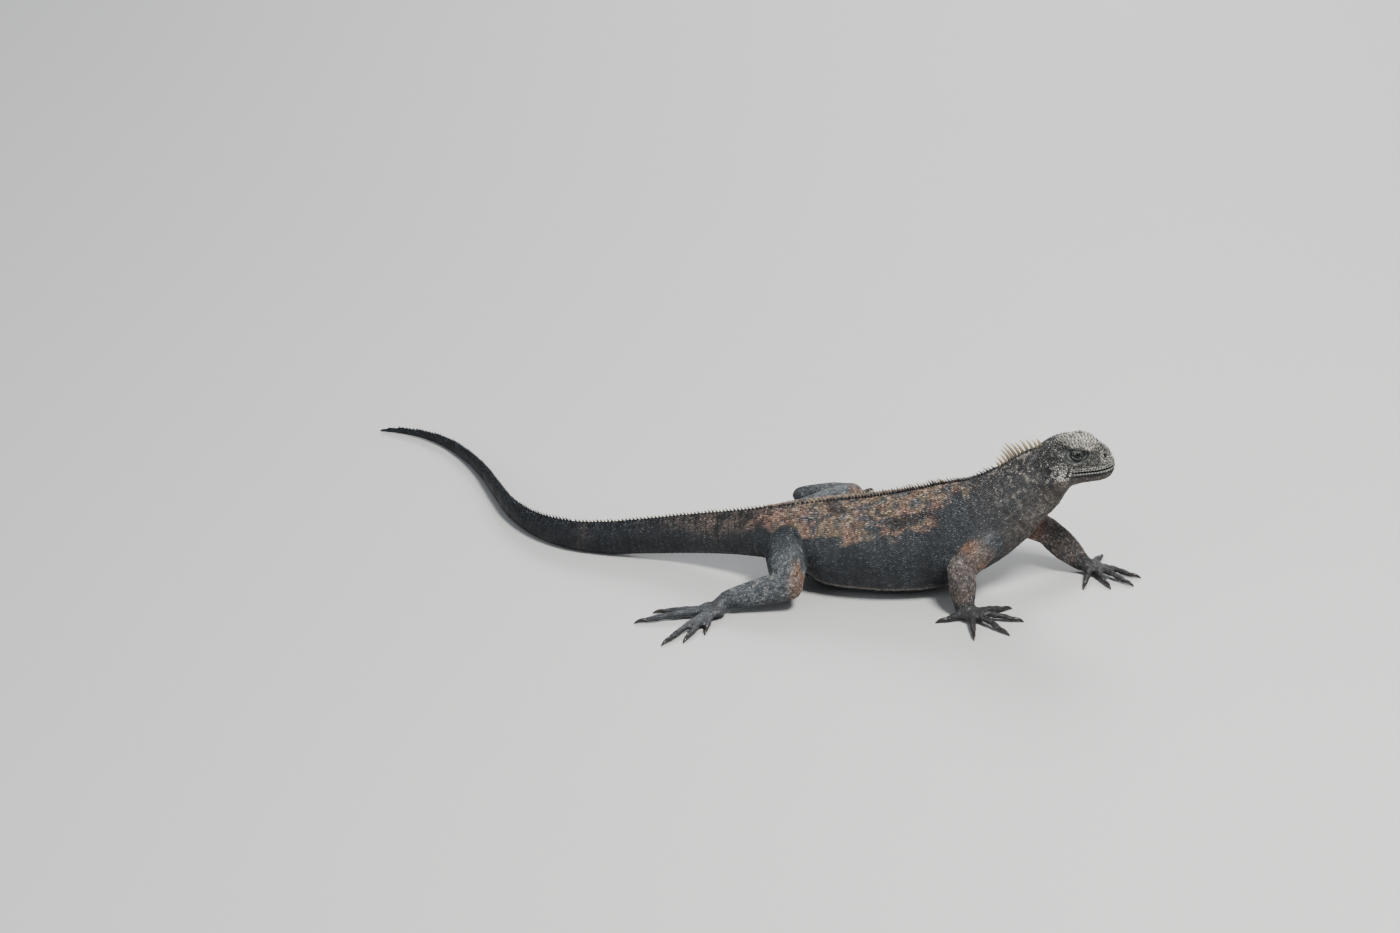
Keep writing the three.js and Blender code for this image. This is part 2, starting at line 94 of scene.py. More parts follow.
# Room left under the outline for scales, and the grid that joins all shells into one hide
SKIN_DEPTH = 0.7
VOXEL = 1.65

# The face, given for the left side and mirrored to the right
EYE = np.array([181, 14.4, 138.8])
EYE_RADIUS = 5.3
GAZE = np.array([0.16, 0.97, 0.10])
LID_OPENING = (3.75, 1.78)
BROW_END = np.array([195, 12.5, 140.5])
NOSTRIL = np.array([204.8, 8.4, 135.2])
EAR = np.array([156.5, 22.6, 123.6])
EAR_SIZE = (2.9, 3.7)
MOUTH_CORNER_X = 178
MOUTH_CORNER_Z = 122.9
MOUTH_LENGTH = 35
# Lumps of the brow, the jaw's corner, the temple and the snout: centre and half sizes
LUMPS = [
    ([183, 13.8, 143.0], [12, 5.6, 2.9]),
    ([165, 18.5, 113.5], [11, 6.5, 9.5]),
    ([165, 18.0, 134.0], [9, 5.5, 8]),
    ([203.8, 8.2, 131.6], [3.4, 2.6, 3.0]),
]

# Each limb: its three joints, the flesh's radii on both bones, and its paw, with the palm's half sizes,
# the height that the digits arch to, their radii, and where their claws end.
LIMBS = {
    "hand_right": {
        "joints": [[111, -22, 61], [86, -47, 38.5], [90, -60, 9.5]],
        "radii": [[15.5, 15.5, 12.6], [12.6, 12.4, 9.2]],
        "palm": [97, -66, 6.2], "size": [11.5, 10.5, 5.6], "arch": 8.0, "digit": [3.9, 3.3, 2.5],
        "tips": [[131, -43], [142, -66], [131, -92], [101, -104], [66, -76]],
    },
    "hand_left": {
        "joints": [[118, 22, 61], [157, 37, 36.5], [187, 32, 10.5]],
        "radii": [[15.5, 15.0, 12.4], [12.4, 12.4, 9.0]],
        "palm": [197, 31, 6.4], "size": [11.0, 11.0, 5.6], "arch": 8.5, "digit": [3.9, 3.3, 2.5],
        "tips": [[191, -3], [215, 1], [235, 8], [241, 24], [207, 63]],
    },
    "foot_right": {
        "joints": [[-70, -17, 39], [-62, -63, 23], [-114, -73, 12]],
        "radii": [[18.5, 17.8, 13.2], [13.0, 12.2, 8.4]],
        "palm": [-126, -83, 6.6], "size": [13.5, 11.5, 5.8], "arch": 6.4, "digit": [4.2, 3.5, 2.5],
        "tips": [[-129, -118], [-146, -134], [-164, -141], [-192, -104], [-178, -84]],
    },
    "foot_left": {
        "joints": [[-66, 17, 40], [-19, 59, 49], [-65, 98, 28]],
        "radii": [[18.5, 17.0, 13.0], [12.8, 12.0, 8.4]],
        "palm": [-51, 112, 8.8], "size": [13.5, 11.5, 6.0], "arch": 6.4, "digit": [4.2, 3.5, 2.5],
        "tips": [[-8, 106], [2, 122], [4, 143], [-4, 168], [-42, 158]],
    },
}
CLAW_LENGTH = 9.5
CLAW_RADIUS = 1.85
DIGIT_STEPS = 31
DIGIT_LIFT = 0.3
# A survey's radii from wrist to palm and along a digit, and the part of the paw where digits start
WRIST_RADII = [8, 8, 9]
DIGIT_RADII = [6, 5, 4.5]
DIGIT_START = 0.3
LIMB_NODES = {
    "hand_right": ["upper_arm_right", "forearm_right"],
    "hand_left": ["upper_arm_left", "forearm_left"],
    "foot_right": ["thigh_right", "shank_right"],
    "foot_left": ["thigh_left", "shank_left"],
}

# Places along the spine, as rows of SPINE, and the spacing of the grooves round the tail
TAIL_END = 0.25
HIPS = 14.6
SHOULDERS = 21.4
NAPE_TOP = 24.95
GROOVE_SPACING = 5.4

# Colours of the hide, as linear red, green and blue.
COLOURS = {name: np.array(value) for name, value in {
    "charcoal": (0.024, 0.027, 0.031),
    "slate": (0.066, 0.075, 0.084),
    "salmon": (0.25, 0.158, 0.124),
    "tan": (0.215, 0.168, 0.122),
    "blotch": (0.036, 0.034, 0.034),
    "crown": (0.56, 0.54, 0.48),
    "temple": (0.052, 0.052, 0.052),
    "cheek": (0.48, 0.465, 0.43),
    "orbit": (0.050, 0.056, 0.053),
    "lower_lip": (0.24, 0.25, 0.235),
    # the pale band over the mouth, partly a painted sheen, and darker on the snout's side
    "lip": (0.225, 0.225, 0.21),
    # painted shade for the mouth's groove and the nostrils
    "mouth": (0.012, 0.010, 0.010),
    "throat": (0.150, 0.128, 0.112),
    "neck": (0.070, 0.065, 0.062),
    "fleck": (0.36, 0.33, 0.29),
    "arm": (0.150, 0.120, 0.104),
    "rust": (0.24, 0.138, 0.094),
    "pale": (0.34, 0.30, 0.26),
    "hand": (0.055, 0.055, 0.057),
    "leg": (0.135, 0.150, 0.160),
    "foot": (0.082, 0.088, 0.096),
    "tail_base": (0.118, 0.096, 0.084),
    "tail": (0.020, 0.023, 0.027),
    "cream": (0.50, 0.41, 0.28),
}.items()}


# Small maths helpers
def unit(vectors):
    return vectors / np.maximum(np.linalg.norm(vectors, axis=-1, keepdims=True), 1e-9)


def ease(low, high, value):
    """0 at low and 1 at high, smooth between; low may be the larger."""
    share = np.clip((value - low) / (high - low), 0, 1)
    return share * share * (3 - 2 * share)


def bell(value, width):
    """1 at 0, falling off to both sides."""
    return np.exp(-(value / width) ** 2)


def mix(first, second, share):
    return first + (second - first) * np.asarray(share)[..., None]


def full_turn(count):
    """Angles evenly round a circle."""
    return np.arange(count) / count * 2 * math.pi


def distance(points, spot):
    return np.linalg.norm(points - spot, axis=1)


def from_left(points):
    """The same points, with those of the right side mirrored to the left."""
    return np.where([False, True, False], np.abs(points), points)


def arc_along(path):
    """Distance along a path at each of its points."""
    return np.concatenate([[0], np.cumsum(np.linalg.norm(np.diff(path, axis=0), axis=1))])


def rows_at(rows, place):
    """A smooth value between rows: a uniform Catmull-Rom through every column."""
    place = np.clip(np.asarray(place, float), 0, len(rows) - 1)
    row = np.minimum(place.astype(int), len(rows) - 2)
    f = (place - row)[..., None]
    a, b, c, d = (rows[np.clip(row + k, 0, len(rows) - 1)] for k in (-1, 0, 1, 2))
    return b + 0.5 * f * (c - a + f * (2 * a - 5 * b + 4 * c - d + f * (3 * b - a - 3 * c + d)))


def noise(points, size, seed=0):
    """Smooth noise from -1 to 1, with lumps of that size in millimetres."""
    spot = points / size + seed * 17.31 + 1000
    cell = np.floor(spot).astype(np.int64)
    f = spot - cell
    f = f * f * (3 - 2 * f)
    total = np.zeros(len(points))
    for corner in itertools.product((0, 1), repeat=3):
        c = cell + corner
        h = c[:, 0] * 374761393 + c[:, 1] * 668265263 + c[:, 2] * 1440662683
        h = ((h ^ (h >> 13)) * 1274126177) & 0xFFFFFFFF
        value = ((h ^ (h >> 16)) & 0xFFFF) / 32768 - 1
        total += value * np.prod(np.where(corner, f, 1 - f), axis=1)
    return total


def spine_frame(place):
    """The spine's direction, side and up at those places."""
    step = 0.02
    place = np.clip(place, step, len(SPINE) - 1 - step)
    ahead = rows_at(SPINE, place + step)[..., :3]
    behind = rows_at(SPINE, place - step)[..., :3]
    along = unit(ahead - behind)
    side = unit(np.cross([0, 0, 1], along))
    return along, side, np.cross(along, side)


def body_powers(place):
    """How square the outline is above and below, from the round tail to the trunk."""
    share = np.clip((place - 14) / 3, 0, 1)
    return 1.75 - 0.10 * share, 1.95 + 0.40 * share


def rounded(value, power):
    return np.sign(value) * np.abs(value) ** (2 / power)


def body_points(place, turn, grow=0.0):
    """Points of the body's outline at places on the spine and turns round it."""
    row = rows_at(SPINE, place)
    _, side, up = spine_frame(place)
    above, below = body_powers(place)
    lift = np.sin(turn)
    power = np.where(lift > 0, above, below)
    height = np.where(lift > 0, row[..., 3], row[..., 4]) + grow
    across = (row[..., 5] + grow) * rounded(np.cos(turn), power)
    rise = height * rounded(lift, power)
    return row[..., :3] + side * across[..., None] + up * rise[..., None]


def head_points(place, turn, grow=0.0):
    """Points of the head's outline, at rows of HEAD and turns round it."""
    x, z, up, down, half = np.moveaxis(rows_at(HEAD, place), -1, 0)
    lift = np.sin(turn)
    power = np.where(lift > 0, *HEAD_POWERS)
    height = np.where(lift > 0, up, down) + grow
    across = (half + grow) * rounded(np.cos(turn), power)
    return np.stack([x, across, z + height * rounded(lift, power)], -1)


# Closed shells of flesh, as (points, faces)
def shell(rings):
    """A closed shell from rings of points, with a fan at each end."""
    count, sides, _ = rings.shape
    points = np.concatenate([rings.reshape(-1, 3), [rings[0].mean(0)], [rings[-1].mean(0)]])
    start, end = count * sides, count * sides + 1
    faces = []
    for r in range(count - 1):
        for s in range(sides):
            a, b = r * sides + s, r * sides + (s + 1) % sides
            faces.append((a, b, b + sides, a + sides))
    last = (count - 1) * sides
    for s in range(sides):
        nxt = (s + 1) % sides
        faces.append((start, nxt, s))
        faces.append((end, last + s, last + nxt))
    return points, faces


def loft(outline, last, count):
    """A shell through an outline's rings, from row 0 to the last."""
    place, turn = np.meshgrid(np.linspace(0, last, count), full_turn(72), indexing="ij")
    return shell(outline(place, turn, -SKIN_DEPTH))


def ball(centre, radii, grow=-SKIN_DEPTH):
    fall, turn = np.meshgrid(np.linspace(0.02, math.pi - 0.02, 18), full_turn(28), indexing="ij")
    rings = np.stack([np.sin(fall) * np.cos(turn), np.sin(fall) * np.sin(turn), -np.cos(fall)], -1)
    return shell(np.array(centre) + rings * (np.array(radii) + grow))


def tube(path, radii, sides=24):
    """A round tube along a path, with its section turned as little as possible."""
    path = np.asarray(path, float)
    way = unit(np.gradient(path, axis=0))
    normal = unit(np.cross(way[0], [0.3, 0.2, 1]))
    rings = []
    turn = full_turn(sides)
    for middle, along, radius in zip(path, way, radii):
        normal = unit(normal - along * (normal @ along))
        across = np.cross(along, normal)
        rings.append(middle + radius * (np.cos(turn)[:, None] * normal + np.sin(turn)[:, None] * across))
    return shell(np.array(rings))


def bone_radius(radii, share):
    """The flesh's radius along a bone, from its radii at the start, middle and end."""
    start, middle, end = radii
    return start + (end - start) * share + (middle - (start + end) / 2) * np.sin(math.pi * share)


def bones(paw):
    """Both long bones of a limb: where each starts and ends, and its flesh's radii."""
    root, middle, end = np.array(paw["joints"], float)
    return (root, middle, paw["radii"][0]), (middle, end, paw["radii"][1])


def bone_flesh(a, b, radii):
    """The flesh of one long bone, round at both ends."""
    length = np.linalg.norm(b - a)
    way = (b - a) / length
    reach, sizes = [], []
    for angle in np.linspace(0.05, math.pi / 2, 7)[:-1]:
        reach.append(-radii[0] * math.cos(angle))
        sizes.append(radii[0] * math.sin(angle))
    for share in np.linspace(0, 1, 16):
        reach.append(length * share)
        sizes.append(bone_radius(radii, share))
    for angle in np.linspace(math.pi / 2, 0.05, 7)[1:]:
        reach.append(length + radii[2] * math.cos(angle))
        sizes.append(radii[2] * math.sin(angle))
    path = a + np.array(reach)[:, None] * way
    return tube(path, np.maximum(np.array(sizes) - SKIN_DEPTH, 0.2), 32)


def digit_curves(paw, tip):
    """The middle line of a digit's flesh, and of its claw."""
    palm = np.array(paw["palm"], float)
    flat = np.array(tip, float) - palm[:2]
    length = np.linalg.norm(flat)
    flat /= length
    end = length - CLAW_LENGTH
    root, _, thin = paw["digit"]

    def at(reach, z):
        return [palm[0] + flat[0] * reach, palm[1] + flat[1] * reach, z]

    keys = np.array([
        at(0, palm[2] - 0.4),
        at(end * 0.3, (palm[2] + paw["arch"]) / 2 - 0.6),
        at(end * 0.62, root + (paw["arch"] - root) * 0.45),
        at(end, thin + DIGIT_LIFT),
    ])
    flesh = rows_at(keys, np.linspace(0, 3, DIGIT_STEPS))
    start = np.array(at(end - 1.2, thin + DIGIT_LIFT))
    knee = np.array(at(end + CLAW_LENGTH * 0.55, thin + 1.4))
    point = np.array(at(length, DIGIT_LIFT))
    share = np.linspace(0, 1, 15)[:, None]
    claw = start * (1 - share) ** 2 + 2 * knee * share * (1 - share) + point * share ** 2
    return flesh, claw


def digit_radii(paw):
    """Radii along a digit, thicker at its knuckles."""
    share = np.linspace(0, 1, DIGIT_STEPS)
    root, middle, thin = paw["digit"]
    plain = np.interp(share, [0, 0.5, 1], [root, middle, thin])
    knuckles = sum(bell(share - spot, 0.055) for spot in (0.36, 0.6, 0.82))
    return plain * (0.96 + 0.15 * knuckles) - SKIN_DEPTH * 0.6


def all_shells():
    """Body, head, lumps and limbs, each running into the next."""
    shells = [loft(body_points, len(SPINE) - 1, 240), loft(head_points, len(HEAD) - 1, 60)]
    for centre, radii in LUMPS:
        shells += [ball(np.array(centre) * [1, side, 1], radii) for side in (1, -1)]
    for paw in LIMBS.values():
        shells += [bone_flesh(*bone) for bone in bones(paw)]
        shells.append(ball(paw["palm"], paw["size"]))
        height = paw["size"][2]
        wrist = np.linspace(paw["joints"][2], paw["palm"], 8)
        shells.append(tube(wrist, np.linspace(height + 2.6, height, 8) - SKIN_DEPTH))
        for tip in paw["tips"]:
            flesh, _ = digit_curves(paw, tip)
            radii = digit_radii(paw)
            bump = flesh[-1] + (flesh[-1] - flesh[-2]) * 0.8
            shells.append(tube(np.vstack([flesh, bump]), np.append(radii, radii[-1] * 0.55), 16))
    return shells


# Meshes
def mesh_object(name, points, faces, material):
    """A mesh object from points in millimetres. faces is a list, or an array of triangles."""
    mesh = bpy.data.meshes.new(name)
    if isinstance(faces, np.ndarray):
        mesh.vertices.add(len(points))
        mesh.vertices.foreach_set("co", (np.asarray(points, np.float32) * MM).ravel())
        mesh.loops.add(faces.size)
        mesh.loops.foreach_set("vertex_index", faces.astype(np.int32).ravel())
        mesh.polygons.add(len(faces))
        mesh.polygons.foreach_set("loop_start", np.arange(0, faces.size, 3, dtype=np.int32))
        mesh.update(calc_edges=True)
    else:
        mesh.from_pydata((np.asarray(points) * MM).tolist(), [], faces)
        mesh.update()
    mesh.polygons.foreach_set("use_smooth", np.ones(len(mesh.polygons), bool))
    mesh.materials.append(material)
    made = bpy.data.objects.new(name, mesh)
    bpy.context.scene.collection.objects.link(made)
    return made


def points_of(mesh):
    co = np.empty(len(mesh.vertices) * 3, np.float32)
    mesh.vertices.foreach_get("co", co)
    return co.reshape(-1, 3).astype(float) / MM


def set_points(mesh, points):
    mesh.vertices.foreach_set("co", (points * MM).astype(np.float32).ravel())
    mesh.update()


def normals_of(mesh):
    out = np.empty(len(mesh.vertices) * 3, np.float32)
    mesh.vertex_normals.foreach_get("vector", out)
    return out.reshape(-1, 3).astype(float)


def corners_of(mesh):
    """The vertex at every corner of every face."""
    out = np.empty(len(mesh.loops), np.int32)
    mesh.loops.foreach_get("vertex_index", out)
    return out


def relax(mesh, weight, rounds, inflate=0.53):
    """Smooths the mesh where weight is 1; with inflate it keeps its volume."""
    edges = np.empty(len(mesh.edges) * 2, np.int32)
    mesh.edges.foreach_get("vertices", edges)
    a, b = edges.reshape(-1, 2).T
    points = points_of(mesh)
    count = len(points)
    degree = np.maximum(np.bincount(a, minlength=count) + np.bincount(b, minlength=count), 1)
    for _ in range(rounds):
        for strength in (0.5, -inflate):
            if strength == 0:
                continue
            mean = np.stack([
                np.bincount(a, points[b, k], count) + np.bincount(b, points[a, k], count) for k in range(3)
            ], 1) / degree[:, None]
            points += (mean - points) * (strength * weight)[:, None]
    set_points(mesh, points)


def only(piece):
    """Selects this piece alone."""
    bpy.ops.object.select_all(action="DESELECT")
    piece.select_set(True)
    bpy.context.view_layer.objects.active = piece


def apply(piece, kind, **settings):
    """Adds a modifier with these settings and applies it."""
    only(piece)
    modifier = piece.modifiers.new(kind.title(), kind)
    for name, value in settings.items():
        setattr(modifier, name, value)
    bpy.ops.object.modifier_apply(modifier=modifier.name)


# Where a point lies on the animal
PLACES = np.arange(0, len(SPINE) - 1 + 0.001, 0.05)
PLACE_ROWS = rows_at(SPINE, PLACES)
PLACE_FRAMES = spine_frame(PLACES)
PLACE_ARC = arc_along(PLACE_ROWS[:, :3])


def near_bone(points, a, b, radii):
    """Share along the bone, and distance from it as a multiple of its flesh's radius."""
    a, b = np.array(a, float), np.array(b, float)
    way = b - a
    share = np.clip((points - a) @ way / (way @ way), 0, 1)
    return share, distance(points, a + share[:, None] * way) / bone_radius(radii, share)


class Survey:
    """For each point: its place and arc along the spine, its rise and turn round it, how far out of the
    body's outline it is (level), how much it is on the head or a limb, the nearest limb, and the part of
    that limb, which is 0 to 1 on the upper bone, 1 to 2 on the lower one and 2 to 3 on the paw."""

    def __init__(self, points):
        self.points = points
        nearest = np.empty(len(points), int)
        for start in range(0, len(points), 20000):
            part = slice(start, start + 20000)
            gaps = ((points[part, None, :] - PLACE_ROWS[None, :, :3]) ** 2).sum(2)
            nearest[part] = gaps.argmin(1)
        along, side, up = (f[nearest] for f in PLACE_FRAMES)
        row = PLACE_ROWS[nearest]
        off = points - row[:, :3]
        self.place = PLACES[nearest]
        self.arc = PLACE_ARC[nearest] + (off * along).sum(1)
        across, rise = (off * side).sum(1), (off * up).sum(1)
        above, below = body_powers(self.place)
        power = np.where(rise > 0, above, below)
        height = np.where(rise > 0, row[:, 3], row[:, 4])
        self.level = ((np.abs(across) / row[:, 5]) ** power + (np.abs(rise) / height) ** power) ** (1 / power)
        self.rise = np.clip(rise / height, -1.3, 1.3)
        self.around = np.arctan2(rise, across)
        self.along = along
        self.head = ease(150, 156, points[:, 0] + 0.35 * (points[:, 2] - 118)) * ease(88, 96, points[:, 2])
        self.limb = np.zeros(len(points), int)
        self.part = np.zeros(len(points))
        closest = np.full(len(points), 9.0)
        for index, paw in enumerate(LIMBS.values()):
            palm = paw["palm"]
            options = [(part, *near_bone(points, *bone)) for part, bone in enumerate(bones(paw))]
            options.append((2, *near_bone(points, paw["joints"][2], palm, WRIST_RADII)))
            for tip in paw["tips"]:
                share, ratio = near_bone(points, palm, [*tip, 3], DIGIT_RADII)
                options.append((2, DIGIT_START + (1 - DIGIT_START) * share, ratio))
            for part, share, ratio in options:
                better = ratio < closest
                closest = np.where(better, ratio, closest)
                self.limb = np.where(better, index, self.limb)
                self.part = np.where(better, part + share * 0.999, self.part)
        self.on_limb = ease(0.99, 1.10, self.level) * ease(1.9, 1.4, closest) * (1 - self.head)
        self.on_limb = np.where(closest > 1.7, 0, self.on_limb)

    def unrolled(self, radius):
        """The points laid flat: the arc along the spine, and the turn round it at that radius."""
        return np.stack([self.arc, self.around * radius, np.zeros(len(self.arc))], 1)


# Sculpting: the reliefs say how far the hide moves out along its normal
def mouth_line(x):
    """Height of the mouth's line, which dips a little behind the snout."""
    share = np.clip((x - MOUTH_CORNER_X) / MOUTH_LENGTH, 0, 1)
    return MOUTH_CORNER_Z + 2.0 * share - 0.8 * np.sin(share * math.pi)


def lips(x):
    """1 along the lips, 0 behind the mouth's corner."""
    return ease(MOUTH_CORNER_X - 2, MOUTH_CORNER_X + 4, x)


# Folds round the eye: distance from the pupil, brightness against the orbit, strength. A brightness
# above 1 is a painted highlight on a fold's ridge, below 1 a painted shade in its trough
LID_RINGS = [(3.0, 3.8, 0.9), (4.4, 0.45, 0.8), (5.7, 3.0, 0.75), (6.9, 0.5, 0.6), (8.1, 2.6, 0.6)]


def lid_distance(u, v):
    """Distance from the pupil, stretched to the lids' almond shape."""
    return np.hypot(u * 0.74, v * np.where(v > 0, 1.42, 1.16))


def ear_distance(x, z):
    """Distance from the ear's middle, 1 at its edge."""
    return np.hypot((x - EAR[0]) / EAR_SIZE[0], (z - EAR[2]) / EAR_SIZE[1])


def groove_gap(survey):
    """Distance from the nearest groove round the tail."""
    half = GROOVE_SPACING / 2
    return (survey.arc + half) % GROOVE_SPACING - half


def face_relief(survey):
    """Lips, lids, brow, nostrils and ears."""
    points = from_left(survey.points)
    x, y, z = points.T
    gap = z - mouth_line(x)
    push = lips(x) * (-1.5 * bell(gap, 0.55) + 0.6 * bell(gap - 2.3, 1.5) + 0.5 * bell(gap + 2.0, 1.4))
    push -= 0.9 * bell(np.hypot(x - MOUTH_CORNER_X + 1, gap), 2.2) * (y > 12)

    u, v = x - EYE[0], z - EYE[2]
    outer = ease(6, 12, y)
    around = np.hypot(u / 11.5, (v + 0.4) / 7.4)
    push -= 1.3 * ease(1.05, 0.55, around) * outer
    push += 1.3 * bell(v - 7.3, 1.7) * bell(u, 10.5) * ease(8, 13, y)
    for ring, tone, strength in LID_RINGS[1:]:
        push += (0.34 if tone > 1 else -0.34) * strength * bell(lid_distance(u, v) - ring, 0.5) * outer
    push += 0.75 * bell(around - 1.03, 0.10) * ease(0.5, -2.5, v) * outer
    hole = distance(points, NOSTRIL)
    push += 0.65 * bell(hole - 2.5, 0.9) - 1.9 * bell(hole, 1.25)
    drum = ear_distance(x, z)
    push += (0.4 * bell(drum - 1.35, 0.22) - 0.8 * ease(1.15, 0.85, drum)) * ease(15, 19, y)
    return push * survey.head


def wrap_lids(points):
    """Lays the lids on the eyeball, and opens them."""
    out = points.copy()
    for side in (1, -1):
        centre = EYE * [1, side, 1]
        off = out - centre
        gap = np.linalg.norm(off, axis=1)
        way = off / gap[:, None]
        outward = way[:, 1] * side
        reach = np.hypot(off[:, 0], off[:, 2] * 1.2)
        weight = ease(8.2, 4.8, reach) * (outward > 0.2) * (gap < 16)
        across, rise = way[:, 0] * EYE_RADIUS, way[:, 2] * EYE_RADIUS - 0.1
        tall = LID_OPENING[1] - 0.032 * across ** 2
        almond = np.hypot(across / LID_OPENING[0], (rise + 0.15) / tall)
        almond = np.where(np.abs(across) > 4.6, 3, almond)
        lid = EYE_RADIUS + 0.62 + 0.42 * bell(almond - 1.32, 0.2) - 0.18 * bell(almond - 1.85, 0.16)
        target = np.where(almond < 2.6, lid + (EYE_RADIUS - 1.1 - lid) * ease(1.12, 0.94, almond), lid)
        new = gap + (target - gap) * weight
        out += way * (new - gap)[:, None]
    return out


def belly_fold(points):
    """Height above the fold along the belly's edge, which climbs to the groin."""
    climb = 25 * ease(-24, -66, points[:, 0]) ** 1.5
    return points[:, 2] - 9.5 - climb - 1.2 * noise(points, 30, 7)


def body_relief(survey):
    """Folds, creases and the soft unevenness of the hide."""
    points = survey.points
    push = 0.55 * noise(points, 24, 1) + 0.25 * noise(points, 9, 2)
    trunk = (1 - survey.head) * (1 - survey.on_limb)
    neck = ease(21.2, 22.4, survey.place) * ease(24.9, 24.0, survey.place) * trunk
    warp = survey.unrolled(18) + 3.0 * noise(points, 16, 4)[:, None] * [1, 0, 0]
    pleats = 1 - 2 * np.abs(noise(warp * [1, 0.16, 1], 4.2, 5))
    push += 0.62 * pleats * neck * ease(0.95, 0.5, survey.rise)
    flank = ease(15.2, 17.0, survey.place) * ease(22.6, 21.0, survey.place) * trunk
    slant = warp * [1, 0.22, 1] + survey.rise[:, None] * [7, 0, 0]
    wrinkles = 1 - 2 * np.abs(noise(slant, 3.4, 6))
    push += 0.26 * wrinkles * flank * ease(0.75, 0.2, survey.rise)

    x, y, _ = points.T
    low = belly_fold(points)
    belly = ease(-70, -58, x) * ease(92, 76, x) * trunk * (np.abs(y) > 20)
    push += belly * (0.9 * bell(low - 2.6, 1.9) - 1.1 * bell(low, 1.0) + 0.55 * bell(low + 2.4, 1.6))

    for paw in LIMBS.values():
        root, middle, _ = np.array(paw["joints"], float)
        gap = distance(points, root)
        wave = 1 - 2 * np.abs(np.sin(gap * math.pi / 5.6 + 0.9 * noise(points, 14, 8))) ** 0.6
        push -= 0.42 * wave * ease(18, 22, gap) * ease(46, 30, gap) * ease(1.2, 1.02, survey.level)
        bend = distance(points, middle)
        crease = np.sin(points @ unit(middle - root) * 2 * math.pi / 3.2 + noise(points, 8, 9))
        push += 0.12 * crease * ease(22, 12, bend) * survey.on_limb
    limb_lumps = noise(points * [1, 1, 0.8], 13, 10)
    push += 0.5 * limb_lumps * survey.on_limb * ease(2.2, 1.8, survey.part)

    tail = ease(14.5, 12.5, survey.place) * trunk
    push *= 1 - 0.7 * tail
    push -= 0.28 * tail * bell(groove_gap(survey), 0.6) * ease(0.5, 2.5, survey.place)
    paws = ease(2.0, 2.15, survey.part) * survey.on_limb
    push *= 1 - 0.75 * paws
    push *= 1 - 0.8 * survey.head
    return push


